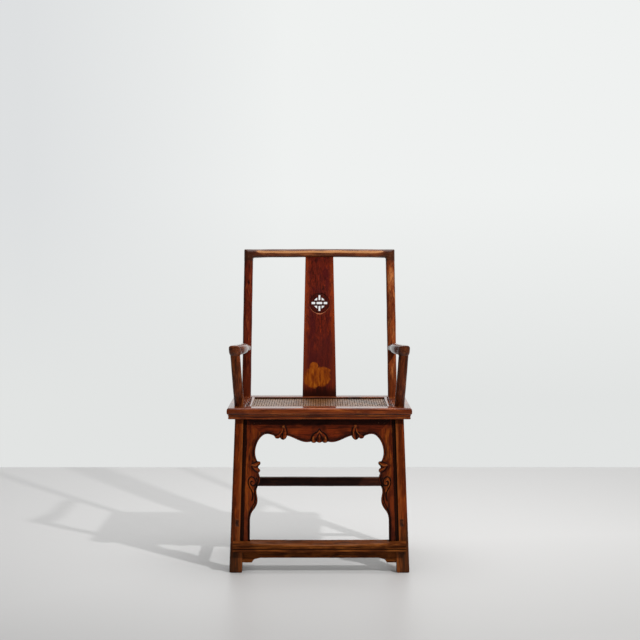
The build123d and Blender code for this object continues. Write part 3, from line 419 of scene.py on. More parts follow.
def wovenCane(name, low, base, light, strand, coat):
    # Split cane, shaved flat and woven tight, gone grey-brown with age. The eye gets pale crowns and dark
    # gaps; each strand has fine lines along it and a tint of its own, with a dull waxy sheen on its skin.
    material = bpy.data.materials.new(name)
    tree = emptyTree(material)
    place = node(tree, "TexCoord", out="Object")
    cell = node(tree, "VectorMath", {0: place, 1: (strand * mm, 6 * strand * mm, 1.0)}, operation="SNAP")
    own = node(tree, "TexWhiteNoise", {"Vector": cell}, noise_dimensions="3D")
    age = node(tree, "TexNoise", {"Vector": place, "Scale": 1 / (38 * mm), "Detail": 4.0})
    fibre = node(tree, "TexNoise", {"Vector": place, "Scale": 1 / (1.1 * mm), "Detail": 2.0})
    mixture = node(tree, "Math", {0: own, 1: 0.3, 2: age}, operation="MULTIPLY_ADD")
    tint = node(tree, "ValToRGB", {0: mixture}, stops=[(0.45, base), (0.80, light)])
    dirtAndShade = node(tree, "Attribute", out="Fac", attribute_name="dirtAndShade")
    tint = node(tree, "Mix", {0: dirtAndShade, 6: tint, 7: colour(low)}, 2, data_type="RGBA")
    relief = node(tree, "Bump", {"Strength": 0.3, "Distance": 0.0003, "Height": fibre})
    shader = node(tree, "BsdfPrincipled", {
        "Base Color": tint, "Roughness": 0.45, "IOR": 1.5, "Normal": relief,
        "Specular IOR Level": 0.5 if coat else 0.0, "Coat Weight": coat, "Coat Roughness": 0.16})
    node(tree, "OutputMaterial", {"Surface": shader}, None)
    return material


# Painted light and shade: posts and arms on the two sides get a paler and a darker copy of one wood.
armTones = {"axis": 1, "coat": 0.85, "coatRoughness": 0.16, "relief": 0.0}
postTones = {"relief": 0.04, "shine": 0.06, "coat": 0.12, "coatRoughness": 0.2,
             "shades": ((2, 640.0, 560.0, 0.45, "#54220C"), (2, 960.0, 1000.0, 0.6, "#3A1A10"))}
railTones = {"dark": "#381206", "base": "#70300E", "light": "#A05620", "patch": "#501E08", "worn": "#A4683A",
             "coat": 0.8, "coatRoughness": 0.11, "relief": 0.0}
archTones = {"dark": "#240A04", "base": "#66260A", "light": "#8E4612", "patch": "#421406", "worn": "#84481C",
             "shine": 0.08, "coat": 0.2}
woods = {
    # The crest's worn tone is the colour of its painted highlight band.
    "crestWood": {"axis": 0, "dark": "#38160A", "base": "#6E3416", "light": "#9A5C2E", "patch": "#50240E",
        "worn": "#C08858", "coat": 0.8, "coatRoughness": 0.2, "coatIor": 1.4, "wearWidth": 6.0,
        "wearLength": 120.0, "relief": 0.04, "shades": ((0, 198.0, 236.0, 0.7, "#30160C"),)},
    "armWood": {"dark": "#3A180A", "base": "#5E2C12", "light": "#7C4420", "patch": "#482010", **armTones},
    "armWoodShaded": {"dark": "#2C120A", "base": "#46200E", "light": "#603218", "patch": "#36180C", **armTones},
    "armPostWood": {"dark": "#241008", "base": "#5E2A10", "light": "#8C5028", "patch": "#36140A",
        "relief": 0.06},
    "armPostWoodShaded": {"dark": "#1C0C06", "base": "#4E200C", "light": "#78421E", "patch": "#2A0E06",
        "relief": 0.06},
    "postWood": {"dark": "#3A140A", "base": "#7E3A18", "light": "#AA6A3A", "patch": "#54220E", **postTones},
    "postWoodShaded": {"dark": "#240A06", "base": "#5C1E0E", "light": "#7E3C1C", "patch": "#401008",
        **postTones},
    "splatWood": {"dark": "#2A0A06", "base": "#56180C", "light": "#822A0C", "patch": "#421010",
        "worn": "#A05C38", "roughness": (0.30, 0.42), "relief": 0.1,
        # The last shade, dark at the splat's foot, is painted shade where the curved board turns down into
        # the seat.
        "shades": ((0, 30.0, 52.0, 0.7, "#7E300A"), (2, 790.0, 700.0, 0.5, "#481814"),
                  (2, 572.0, 538.0, 0.85, "#1C0A06")),
        "blobs": ((-23.0, 591.0, 33.0, 35.0), (5.0, 595.0, 34.0, 35.0), (-19.0, 630.0, 15.0, 16.0),
                  (14.0, 617.0, 25.0, 10.0)),
        "blobsBefore": 195.0 + seatMiddle[1]},
    "railWoodX": {"axis": 0, **railTones},
    "railWoodY": {"axis": 1, **railTones},
    # The dark band at the top of the front arch and the back apron is painted shadow under the seat frame's
    # overhang.
    "archWoodX": {**archTones, "axis": 0, "base": "#60200A", "light": "#86350E",
        "shades": ((2, 452.0, 486.0, 0.85, "#1C0804"),)},
    "archWoodZ": {"axis": 2, **archTones},
    "archWoodY": {"axis": 1, **archTones},
    "legWood": {"dark": "#341004", "base": "#6A2A0A", "light": "#863E0E", "patch": "#4A1A06",
        "worn": "#82441C", "shine": 0.05, "coat": 0.12, "relief": 0.08,
        "shades": ((2, 210.0, 20.0, 0.8, "#342010"),)},
    "footWood": {"axis": 0, "dark": "#2C1408", "base": "#683412", "light": "#8C5020", "patch": "#46200C",
        "worn": "#905222", "shine": 0.04, "coat": 0.0, "roughness": (0.45, 0.65), "relief": 0.1},
    "stretcherWoodX": {"axis": 0, "dark": "#1C0A06", "base": "#36170E", "light": "#4E2814",
        "patch": "#26100A", "worn": "#523022"},
    "stretcherWoodY": {"axis": 1, "dark": "#180804", "base": "#361608", "light": "#583014",
        "patch": "#221008", "worn": "#6A3618"},
    "pegWood": {"axis": 1, "dark": "#2A140C", "base": "#5C341C", "light": "#84583A", "patch": "#442414"},
}
wood = {name: lacqueredWood(name, **changes) for name, changes in woods.items()}
cane = wovenCane("agedSplitCane", "#160A04", "#905A30", "#BA8656", 4.05, 0.7)
# The weft wears a darker, unglossed copy of the cane: painted shade for the gaps between the crowns.
shadedCane = wovenCane("caneInShade", "#160A04", "#3E2210", "#5A3A1E", 4.05, 0.0)
palm = wovenCane("palmFibreCord", "#180E08", "#5A4028", "#7E6040", 7.2, 0.3)
print("materials are ready")


rail = {
    "width": 76.0, "ledge": 14.0, "matBed": 3.0, "lineInset": 4.6, "lineWidth": 1.8, "lineDepth": 0.5,
    "roundHeight": 9.0, "roundInset": 4.5, "shoulder": 2.6, "groove": 5.2, "band": 3.8, "quirk": 5.6,
    "bead": 4.6, "foot": 7.0, "soft": 0.5, "mitreSoft": 0.35, "dirtAndShade": 0.75, "wear": 0.4, "uneven": 0.5,
    "unevenLength": 38.0,
}


def railProfile(r):
    # Corners of a rail's section: first number inwards from its outer edge, second up from its underside.
    t = seatTop - seatUnder
    inner = r["width"] - r["ledge"]
    line = inner - r["lineInset"]
    return [
        (r["width"], 0), (r["foot"], 0), (r["bead"], 1.6), (r["bead"], 5.4), (r["bead"] + 1.2, 7.6),
        (r["quirk"], 8.2), (r["quirk"], 9.6), (r["band"], 10.2), (r["band"], 12.6), (r["groove"], 13.2),
        (r["groove"], 14.6), (r["shoulder"], 15.6), (0.2, 19.0), (0, t - r["roundHeight"]), (1.0, t - 3.0),
        (r["roundInset"], t), (line - r["lineWidth"], t), (line - r["lineWidth"] / 2, t - r["lineDepth"]),
        (line, t), (inner, t), (inner, matLow[2] - seatUnder - r["matBed"]),
        (r["width"], matLow[2] - seatUnder - r["matBed"])]


def frameSide(ring, quarters, inset, height, spacing=6.0):
    # A bar of the seat frame along X at the back, then turned clockwise by quarters about the seat's middle.
    # A point this deep from the outer edge lies at Y = reach - depth, and its X is the row's share times
    # (half length - depth), so both ends stand in the 45 degree mitre.
    reach, halfLength = (halfWidth, halfDepth) if quarters % 2 else (halfDepth, halfWidth)
    depth = ring[None, :, 0] + inset
    share = np.linspace(-1, 1, int(2 * (halfLength - inset) / spacing) | 1)[:, None]
    x = share * (halfLength - depth)
    y = np.broadcast_to(reach - depth, x.shape)
    for quarter in range(quarters):
        x, y = y, -x
    z = np.broadcast_to(ring[None, :, 1] + height, x.shape)
    return softEnds(np.stack([x, y, z], axis=-1), rail["mitreSoft"])


railWoods = (wood["railWoodX"], wood["railWoodY"])
sides = {"Back": 0, "Right": 1, "Front": 2, "Left": 3}
ring = fillSides(roundCorners(railProfile(rail), rail["soft"], 3), 2.5)
wear, dirtAndShade = edgeTone(ring)
for side, quarters in sides.items():
    rows = frameSide(ring, quarters, 0.0, seatUnder)
    # The rounded upper edge is hand planed and rubbed: it wanders by a fraction of a millimetre.
    outer = ease(ring[:, 1], 16.0, 30.0) * ease(-ring[:, 0], -8.0, 0.0)
    along = rows[..., quarters % 2]
    rows[..., 2] -= rail["uneven"] * outer * (1 + ripple(along, ring[None, :, 0], rail["unevenLength"]))
    makePiece("seatRail" + side, [tube(rows, rail["wear"] * wear, rail["dirtAndShade"] * dirtAndShade)],
              railWoods[quarters % 2], "seat_wood", "seat_rail_" + side.lower())

strip = {"width": 11.0, "crown": 6.0, "shoulder": 4.6, "gap": 2.1, "soft": 0.8, "wear": 0.4, "sideShade": 0.9}


def stripProfile(s):
    # Section of a press strip: flat below, gently crowned above, with eased shoulders.
    across = np.linspace(0, s["width"], 9)
    crown = s["shoulder"] + (s["crown"] - s["shoulder"]) * np.sin(math.pi * across / s["width"]) ** 0.7
    return np.concatenate([[(s["width"], 0), (0, 0)], np.stack([across, crown], axis=-1)])


ring = fillSides(roundCorners(stripProfile(strip), strip["soft"], 3), 2.0)
wear, dirtAndShade = edgeTone(ring)
# Painted shade on the strip's lower sides darkens the narrow gaps beside it.
below = ease(-ring[:, 1], -strip["shoulder"] - 0.2, 0.6 - strip["shoulder"])
dirtAndShade = np.maximum(dirtAndShade, strip["sideShade"] * below)
for side, quarters in sides.items():
    rows = frameSide(ring, quarters, rail["width"] - rail["ledge"] + strip["gap"], matHigh[2])
    makePiece("pressStrip" + side, [tube(rows, strip["wear"] * wear, dirtAndShade)], railWoods[quarters % 2],
              "seat_wood", "press_strip_" + side.lower())
print("seat frame is made")


weave = {"pitch": 4.05, "width": 2.7, "thickness": 0.75, "lift": 0.34, "proud": 0.26, "pairGap": 1.3,
         "weftShade": 0.4}
webbing = {"pitch": 7.2, "width": 1.45, "thickness": 1.4, "lift": 0.75, "proud": 0.0, "pairGap": 0.6,
           "weftShade": 0.0}


def weaveStrands(w, low, high, lengthwise, corners):
    # Strands side by side, two and two. Number i lies at i times the pitch, drawn towards its partner, and
    # rises and dips by a flattened sine of its length, in step with its pair and against the next pair.
    # Real cane is woven twice as fine; it is drawn coarser so that the strands can be told apart.
    run, across = (1, 0) if lengthwise else (0, 1)
    count = int((high[across] - low[across] - w["width"]) / w["pitch"]) // 2 * 2
    i = np.arange(count)
    middle = (i - (count - 1) / 2) * w["pitch"] + np.where(i % 2 == 0, 0.5, -0.5) * w["pairGap"] / 2
    t = np.linspace(low[run] + 0.2, high[run] - 0.2, int((high[run] - low[run]) / w["pitch"] * 2))
    wave = np.clip(1.5 * np.cos(math.pi * t[None] / (2 * w["pitch"]) + math.pi * (i // 2)[:, None]), -1, 1)
    side = 1 if lengthwise else -1
    ring = corners * [w["width"] / 2, w["thickness"] / 2]
    points = np.zeros((count, len(t), len(ring), 3))
    points[..., run] = t[None, :, None]
    points[..., across] = middle[:, None, None] + ring[None, None, :, 0]
    points[..., 2] = (low[2] + high[2]) / 2 + ring[None, None, :, 1]
    points[..., 2] += side * (w["lift"] * wave + w["proud"])[:, :, None]
    # One set of faces serves every strand: it is repeated with a larger start number each time.
    size, quads, fans = len(ring) * len(t) + 2, *tube(points[0])[1:3]
    cloud = np.concatenate([points.reshape(count, -1, 3), points[:, [0, -1]].mean(axis=2)], axis=1)
    jump = (i * size)[:, None, None]
    # Painted shade and grime lie where a strand dips under its neighbours, and along its sides; the weft gets
    # more.
    dirtAndShade = np.clip(0.5 - 0.5 * side * wave, 0, 1)[:, :, None] ** 0.7
    dirtAndShade = dirtAndShade + 0.35 * (np.abs(ring[:, 0]) > 0.4 * w["width"]) + (0 if lengthwise else w["weftShade"])
    dirtAndShade = np.concatenate([0.9 * np.clip(dirtAndShade, 0, 1).reshape(count, -1), np.zeros((count, 2))], axis=1)
    return [(cloud.reshape(-1, 3), (quads + jump).reshape(-1, 4), (fans + jump).reshape(-1, 3),
             [np.zeros(count * size), dirtAndShade.reshape(-1)])]


flatBack = np.array([(-1.0, -0.9), (1.0, -0.9), (0.62, 1.0), (-0.62, 1.0)])   # split cane, flat behind
roundCord = circleRing(1.0, 8)
warp = makePiece("caneWarp", weaveStrands(weave, matLow, matHigh, True, flatBack), cane, "cane", "cane_mat",
                 sharpAbove=75)
weft = makePiece("caneWeft", weaveStrands(weave, matLow, matHigh, False, flatBack), shadedCane, "cane",
                 sharpAbove=75)
webBox = boxOf("palm_webbing")
cords = weaveStrands(webbing, *webBox, True, roundCord)
makePiece("palmCordsAlong", cords, palm, "palm_fibre", "palm_webbing")
cords = weaveStrands(webbing, *webBox, False, roundCord)
makePiece("palmCordsAcross", cords, palm, "palm_fibre")
print("seat is woven")


leg = {
    "setback": 25.0, "top": 37.0, "foot": 41.0, "splay": 18.5, "outerRound": 11.0, "round": 2.5, "toe": 2.0,
    "rebate": 10.0, "rebateDepth": 6.0, "beadWidth": 2.2, "beadHeight": 0.7, "channelShade": 0.9,
    "rowSpacing": 7.0,
}


def legCentre(z):
    # Middle of a leg at a height, and its width there. The outer faces lean out towards the floor.
    drop = (seatUnder - z) / seatUnder
    width = leg["top"] + (leg["foot"] - leg["top"]) * drop
    inset = leg["setback"] - leg["splay"] * drop + width / 2
    return halfWidth - inset, halfDepth - inset, width


def legRows(ends, corners, radii, steps, moves=None, between=0):
    # Rings of a splayed leg at even heights between the given ends. Corners are in half widths about the
    # leg's middle; moves gives what is added to them in mm at each height.
    counts = [max(2, int((b - a) / leg["rowSpacing"]) + 1) for a, b in zip(ends, ends[1:])]
    parts = [np.linspace(a, b, count)[:-1] for a, b, count in zip(ends, ends[1:], counts)]
    z = np.concatenate(parts + [[ends[-1]]])
    x, y, width = legCentre(z)
    half = width / 2 - leg["toe"] * (1 - np.clip(z / leg["toe"], 0, 1)) ** 2
    rings = np.asarray(corners, float) * half[:, None, None]
    if moves:
        rings = rings + moves(z)
    rings = np.array([roundCorners(ring, radii, steps, between) for ring in rings])
    rings = rings + np.stack([x, y], axis=-1)[:, None]
    return np.concatenate([rings, np.broadcast_to(z[:, None, None], (*rings.shape[:2], 1))], axis=-1)


footLow, footHigh = boxOf("foot_rail")
# Front right leg, made with its outer face towards +Y and turned over: the inner corner of that face is
# cut back into a channel with a small bead along its floor.
w, d, b, h = leg["rebate"], leg["rebateDepth"], leg["beadWidth"], leg["beadHeight"]
channel = np.array([(0, -d), (1.6, -d), (2.4, h - d), (2.4 + b, h - d), (3.2 + b, -d), (w - 0.6, -d), (w, 0)])


def channelCut(z):
    # The channel's corners move in above the foot rail and keep almost still below it.
    moves = np.zeros((len(z), 3 + len(channel), 2))
    moves[:, 3:] = channel * (0.03 + 0.97 * ease(z, footLow[2], footLow[2] + 3.0))[:, None, None]
    return moves


rows = legRows((0.0, 0.7, leg["toe"], footLow[2], footLow[2] + 3.0, seatUnder),
               [(1, 1), (1, -1), (-1, -1)] + [(-1, 1)] * len(channel),
               [leg["outerRound"], leg["round"], leg["round"]] + [0.5] * len(channel), 6, channelCut)
x, y = rows[-1, :, 0] - rows[-1, :, 0].mean(), rows[-1, :, 1] - rows[-1, :, 1].mean()
wear, dirtAndShade = edgeTone(np.stack([x, y], axis=-1), 2.5)
inChannel = ease(y.max() - y, 1.0, 4.0) * (x < x.min() + w)
rows[..., 1] *= -1
# In the channel the wear is taken down and painted shade fills the set-back recess.
wear, dirtAndShade = wear * (1 - 0.8 * inChannel), np.maximum(dirtAndShade, leg["channelShade"] * inChannel)
makePair("frontLeg", [tube(rows, wear, dirtAndShade)], [wood["legWood"]], "leg_wood", "front_leg")

post = {
    "diameter": 30.5, "sideInset": 45.0, "rearInset": 42.0, "leanIn": 5.5, "lean": 66.0, "bow": 10.0,
    "hidden": 4.0, "uneven": 0.35, "unevenLength": 45.0, "soft": 0.5,
}
# On the crest, the rubbed band is a painted highlight, and the darker underside and upper edge are painted
# shade.
crest = {
    "top": 1032.0, "height": 28.5, "depth": 30.0, "rise": 1.7, "bow": 14.0, "capDrop": 11.0,
    "capDiameter": 31.5, "corner": 3.0, "crook": 3.0, "round": 12.5, "soft": 0.6, "uneven": 0.35,
    "highlightAngle": 18.0, "highlightWidth": 20.0, "rubAndHighlight": 1.15, "underShade": 0.5, "topAngle": 55.0, "topWidth": 14.0,
    "topShade": 0.35, "cornerFrom": 205.0, "cornerTo": 236.0, "cornerDirt": 0.25,
}
crestAxis = crest["top"] - crest["rise"] - crest["height"] / 2
jointHeight = crestAxis - crest["height"] / 2 - crest["capDrop"]


def postLine(t):
    # Middle line of the right rear post, t from 0 at the seat to 1 at the crest's joint: a straight chord
    # that leans in and back, bowed back by a parabola.
    x = halfWidth - post["sideInset"] - post["leanIn"] * t
    y = halfDepth - post["rearInset"] + post["lean"] * t - 4 * post["bow"] * t * (1 - t)
    return np.stack([x, y, seatTop + (jointHeight - seatTop) * t], axis=-1)


# Rear leg and post in one length: the square leg runs into the round post inside the seat frame.
lower = legRows((0.0, 0.7, leg["toe"], seatUnder), [(1, 1), (1, -1), (-1, -1), (-1, 1)],
                [leg["outerRound"], leg["round"], leg["round"], leg["round"]], 8, between=14)
x, y = lower[-1, :, 0] - lower[-1, :, 0].mean(), lower[-1, :, 1] - lower[-1, :, 1].mean()
spokes = np.stack([x, y], axis=-1) / np.hypot(x, y)[:, None]
upper = carry(postLine(np.linspace(0, 1, 90)), spokes * post["diameter"] / 2, (1, 0, 0))
upper[..., 0] += post["uneven"] * spokes[None, :, 0] * ripple(upper[..., 2], 0, post["unevenLength"])
upper[0, :, 2] = seatTop - post["hidden"]
# The right post gets the paler wood and the left one the darker: painted light and shade.
makePair("rearPost", [tube(softEnds(np.concatenate([lower, upper]), post["soft"]))],
         [wood["postWood"], wood["postWoodShaded"]], "frame_wood", "rear_post")
print("legs and posts are made")


def crestRows():
    # One tube, mitred at both corners. Points of its section keep their own distance from the middle line,
    # so each runs up, across and down as a bent line of its own. At a corner that line is rounded by a
    # parabola. The crossing part bows back and rises by parabolas of X.
    c = crest
    tip = postLine(np.array([1.0 - 1e-3, 1.0]))
    up = (tip[1] - tip[0]) * [0, 1, 1]
    up = up / np.linalg.norm(up)
    back = np.array([0.0, up[2], -up[1]])
    span = (crestAxis - jointHeight) / up[2]
    cap = circleRing(c["capDiameter"] / 2, 64)
    box = fillSides(roundedBox(c["height"], c["depth"], c["round"], 8), 3.0)
    clock = np.arctan2(box[:, 1], box[:, 0])
    order = np.argsort(clock)
    wanted = np.arctan2(cap[:, 1], cap[:, 0])
    bar = [np.interp(wanted, clock[order], box[order, k], period=2 * math.pi) for k in (0, 1)]
    bar = np.stack(bar, axis=-1)
    halfSpan, capRadius = tip[1][0], c["capDiameter"] / 2
    # The bend is tight outside and fuller in the crook.
    corner = c["corner"] + c["crook"] * (0.5 - 0.5 * np.cos(wanted))[:, None]
    straight = corner.max() + 1.0

    # First coordinate across the chair, second up the post, third backwards.
    s = np.linspace(0, span - c["height"] / 2 - straight, 5)[:, None]
    rise = np.stack(np.broadcast_arrays(halfSpan + cap[:, 0], s, cap[:, 1]), axis=-1)
    x = np.linspace(halfSpan - capRadius - straight, 0, 44)[:, None]
    arc = 1 - (x / halfSpan) ** 2
    cross = np.stack(np.broadcast_arrays(x, span + bar[:, 0] + c["rise"] * arc, bar[:, 1] + c["bow"] * arc),
                     axis=-1)
    turn = np.stack([halfSpan + cap[:, 0], span + bar[:, 0], (cap[:, 1] + bar[:, 1]) / 2], axis=-1)
    t = np.linspace(0, 1, 6)[:, None, None]
    bend = parabola(turn - corner * [0, 1, 0], turn, turn - corner * [1, 0, 0], t)
    half = np.concatenate([rise, bend, cross])
    whole = np.concatenate([half, (half * [-1, 1, 1])[-2::-1]])
    whole[..., 1] += c["uneven"] * ripple(whole[..., 0], whole[..., 1] + whole[..., 2], 60.0)
    # The caps lean back with the posts; along the bar the section turns upright.
    lean = ease(np.abs(whole[..., :1]), halfSpan - 70, halfSpan - capRadius)
    middle = tip[1] * [0, 1, 1] + span * up
    upright = lean * up + (1 - lean) * np.array([0, 0, 1.0])
    level = lean * back + (1 - lean) * np.array([0, 1.0, 0])
    return middle + whole[..., :1] * [1, 0, 0] + (whole[..., 1:2] - span) * upright + whole[..., 2:] * level


def crestTones(rows):
    # A painted highlight: a pale band just above the middle of the front, where light from above the front
    # shines, which stops short of both corners. The underside and the upper edge get painted shade; the
    # corners keep their dark lacquer. Angles are up from the front.
    c = crest
    angle = np.arange(rows.shape[1]) * 360 / rows.shape[1] - 270
    corner = ease(np.abs(rows[..., 0]), c["cornerFrom"], c["cornerTo"])
    wear = c["rubAndHighlight"] * bump(angle - c["highlightAngle"], c["highlightWidth"])
    dirtAndShade = c["underShade"] * ease(-np.sin(np.radians(angle)), 0.3, 0.9)
    dirtAndShade = dirtAndShade + c["topShade"] * bump(angle - c["topAngle"], c["topWidth"])
    return wear * (1 - corner), dirtAndShade * (1 - corner) + c["cornerDirt"] * corner


rows = softEnds(crestRows(), crest["soft"])
makePiece("crestRail", [tube(rows, *crestTones(rows))], wood["crestWood"], "frame_wood", "crest_rail",
          sharpAbove=50)
print("crest rail is made")


# Elbow, waist and wrist: in from the frame's side, from its back (the wrist from its front), above the seat.
arm = {
    "diameter": 30.0, "frontRise": 181.0, "rearRise": 165.0, "elbow": (33.0, 95.0, 168.5),
    "waist": (45.0, 190.0, 176.0), "wrist": (49.0, 134.0), "postInset": (37.5, 74.0), "spread": 12.2,
    "reach": 17.0, "postBow": 8.0, "postDiameter": 31.5, "knuckle": 39.5, "jointDrop": 17.0, "collar": 12.0,
    "domed": 0.8, "bendRound": 4.5, "squareness": 0.6, "swellFrom": 0.66, "uneven": 0.3, "unevenLength": 45.0,
    "postHidden": 3.0, "postUneven": 0.35, "postUnevenLength": 30.0, "postSoft": 0.5,
}
base = np.array([halfWidth - arm["postInset"][0], arm["postInset"][1] - halfDepth, seatTop])
armTop = base + [arm["spread"], -arm["reach"], arm["frontRise"]]


def armLine():
    # The arm's middle line: leaves the rear post, swings out at the elbow, in at the waist and out again.
    rear = postLine(np.array(arm["rearRise"] / (jointHeight - seatTop)))
    elbow, waist = (np.array([halfWidth - side, halfDepth - deep, seatTop + high])
                    for side, deep, high in (arm["elbow"], arm["waist"]))
    wrist = (halfWidth - arm["wrist"][0], arm["wrist"][1] - halfDepth, armTop[2])
    return pulledLine([rear, elbow, waist, wrist, armTop], 24)


def armRows():
    # A round bar carried along the arm's line, which swells and squares a little towards the front and turns
    # down over the post like the bowl of a pipe. Each point of the section keeps its own line: forward along
    # the arm, a parabola round the corner, then down into a hollow collar that ends at the post's own width.
    a = arm
    line = armLine()
    line = line[np.linalg.norm(line - armTop, axis=1) > a["knuckle"] / 2 + 5.0]
    share = np.linspace(0, 1, len(line))[:, None, None]
    angle = np.linspace(0, 2 * math.pi, 56, endpoint=False)
    square = 1 - (1 - a["squareness"]) * ease(share[..., 0], 0.7, 1.0)
    ring = np.stack([np.sign(f) * np.abs(f) ** square for f in (np.cos(angle), np.sin(angle))], axis=-1)
    half, neck, thick = a["knuckle"] / 2 - 0.3, a["postDiameter"] / 2 + 0.15, a["diameter"] / 2
    growth = ease(share, a["swellFrom"], 1.0)
    size = np.concatenate([thick + (half - thick) * growth, thick + a["domed"] * growth], axis=-1)
    rear = carry(line, ring * size, (1, 0, 0))
    heading = (line[-1] - line[-4]) * [1, 1, 0]
    heading = heading / np.linalg.norm(heading)
    aside = np.array([-heading[1], heading[0], 0])

    def collar(height):
        # Half width of the turned-down end by height: the post's width at the joint, full a collar higher.
        part = np.clip((height + a["jointDrop"]) / a["collar"], 0, 1)
        return neck + (half - neck) * np.sin(part * math.pi / 2) ** 0.8

    def at(across, ahead, height):
        # A place about the arm's end from its three distances.
        moved = across[..., None] * aside + ahead[..., None] * heading + height[..., None] * [0, 0, 1.0]
        return armTop + moved

    unit = ring[-1]
    rise = unit[:, 1] * (thick + a["domed"])
    wide = collar(rise)
    forward = unit[:, 1] * wide
    reach = np.clip((rise + a["jointDrop"]) * 0.5, 0.3, a["bendRound"])
    start = at(unit[:, 0] * half, forward - reach, rise)
    turn = at(unit[:, 0] * (half + wide) / 2, forward, rise)
    end = at(unit[:, 0] * wide, forward, rise - reach)
    bend = parabola(start, turn, end, np.linspace(0, 1, 8)[:, None, None])
    t = np.linspace(0, 1, 5)[1:-1, None, None]
    lead = rear[-1] * (1 - t) + start * t
    t = np.linspace(0, 1, 9)[1:, None]
    height = (rise - reach) * (1 - t) - a["jointDrop"] * t
    # The squared section turns round on its way down.
    t = t[..., None]
    evened = unit * (1 - t) + unit / np.linalg.norm(unit, axis=1, keepdims=True) * t
    evened = evened * collar(height)[..., None]
    rows = np.concatenate([rear, lead, bend, at(evened[..., 0], evened[..., 1], height)])
    rows[..., 2] += a["uneven"] * ripple(rows[..., 1], rows[..., 0], a["unevenLength"])
    return rows


# The right arm gets the darker wood and the left one the paler: painted shade and light.
makePair("arm", [tube(armRows())], [wood["armWoodShaded"], wood["armWood"]], "frame_wood", "arm")

# Goose-neck post: a round bar along a straight chord that is bowed forwards by a parabola.
t = np.linspace(0, 1, 40)[:, None]
postTop = armTop - [0, 0, arm["jointDrop"]]
line = base + (postTop - base) * t - np.array([0, arm["postBow"], 0]) * 4 * t * (1 - t)
rows = carry(line, circleRing(arm["postDiameter"] / 2, 48), (1, 0, 0))
rows[0, :, 2] = seatTop - arm["postHidden"]
rows[-1, :, 2] = postTop[2] - 0.1
clock = np.arctan2(rows[..., 1] - line[:, None, 1], rows[..., 0] - line[:, None, 0])
rows[..., 0] += arm["postUneven"] * ripple(rows[..., 2], clock * 8, arm["postUnevenLength"])
# The right arm post gets the darker wood and the left one the paler: painted shade and light.
makePair("armPost", [tube(softEnds(rows, arm["postSoft"]))], [wood["armPostWoodShaded"], wood["armPostWood"]],
         "frame_wood", "arm_post")
print("arms are made")


arch = {
    "setback": 5.0, "thickness": 12.0, "grid": 1.0, "edgeRound": 1.6, "edgeFall": 0.9, "beadFrom": 1.2,
    "beadWidth": 1.5, "beadHeight": 0.9, "groove": 4.9, "grooveWidth": 0.9, "grooveDepth": 1.3, "hollow": 0.6,
    "hollowFade": 7.0, "mitre": 52.7, "mitreSoft": 0.7, "mitreFall": 0.6, "pegInsets": (44.0, 25.0),
    "pegDrops": (13.0, 15.0), "pegClear": 4.0, "crevice": 1.7, "rubAndHighlight": 0.5, "leafHeight": 1.25,
    "leafDirt": 0.5, "leafEdge": 0.9, "leafEdgeFall": 0.7, "highest": 2.2, "dirtFrom": 0.1, "uneven": 0.12,
    "unevenLength": 9.0, "backLift": 0.8, "tip": 1.2, "sideFrom": 1.5, "sideFineTo": 50.0,
    "sideGrid": 1.05, "sideBelow": 6.0, "sideGap": 0.1,
}
tilt = math.atan2(leg["splay"], seatUnder)
legFaceY = halfDepth - leg["setback"]


def bayToChair(x, up, out):
    # From the front bay's own plane (across, up from the frame's underside, out from the legs' faces)
    # to the chair: the plane leans with the splayed legs.
    y = -legFaceY - out * math.cos(tilt) + up * math.sin(tilt)
    z = seatUnder + up * math.cos(tilt) + out * math.sin(tilt)
    return np.stack(np.broadcast_arrays(x, y, z), axis=-1)


def frontOutline(nodeName):
    # Corner points of a board's front face, from the frame, as (across, up) in the bay's plane.
    x, y, z = (solidPoints(nodeName) + [0, legFaceY, -seatUnder]).T
    out = z * math.sin(tilt) - y * math.cos(tilt)
    flat = np.stack([x, z * math.cos(tilt) + y * math.sin(tilt)], axis=-1)
    flat = flat[np.abs(out + arch["setback"]) < 0.02]
    # The peg holes in the corners are left out.
    half = np.abs(flat[:, 0]).max()
    for inset, drop in zip(arch["pegInsets"], arch["pegDrops"]):
        flat = flat[np.hypot(np.abs(flat[:, 0]) - (half - inset), flat[:, 1] + drop) > arch["pegClear"]]
    return np.unique(np.round(flat, 3), axis=0)


def edgeRelief(distance):
    # Height of the carved ground by distance from the cut edge: a rounded arris, a raised bead, a groove
    # behind it, and a shallow hollow that fades into the flat.
    a = arch
    height = -a["edgeRound"] * np.exp(-distance / a["edgeFall"])
    height += a["beadHeight"] * bump(distance - a["beadFrom"] - a["beadWidth"], a["beadWidth"])
    height -= a["grooveDepth"] * bump(distance - a["groove"], a["grooveWidth"])
    return height - a["hollow"] * np.exp(-np.maximum(distance - a["groove"], 0) / a["hollowFade"])


# Carved lines: (through points, width, height), a hill or a groove along a smooth curve. Points are (across,
# up) in mm: from the middle for the board at the top, from the arch's outer corner for its uprights.
# The leaf beside the arch's shoulder, then the budding leaf in the middle.
topLines = [
    ([(115, -24), (117, -33), (121, -43), (130, -51), (141, -60)], 2.2, 1.5),
    ([(112, -27), (109, -38), (109, -52), (113, -66)], 2.0, 1.3),
    ([(115, -30), (116, -42), (118, -54), (119, -66)], 1.2, -1.3),
    ([(119, -46), (124, -55), (125, -61)], 1.2, -1.2),
    ([(124, -43), (134, -52), (146, -54)], 1.4, -1.4),
    ([(108, -27), (104, -38), (104, -52)], 1.4, -1.2),
    ([(112, -23), (115, -19), (119, -22), (117, -26)], 1.5, 1.0),
    ([(0, -33), (6, -42), (17, -48), (24, -57), (27, -68), (25, -76)], 1.4, -1.6),
    ([(0, -38), (5, -46), (13, -53), (18, -62), (18, -74)], 2.4, 1.4),
    ([(0, -47), (5, -55), (9, -64), (9, -75)], 1.2, -1.4),
    ([(0, -50), (0, -62), (0, -77)], 2.2, 1.2),
    ([(9, -50), (15, -57), (14, -68)], 1.1, -1.0),
    ([(20, -60), (23, -68), (21, -76)], 1.8, 1.2),
]
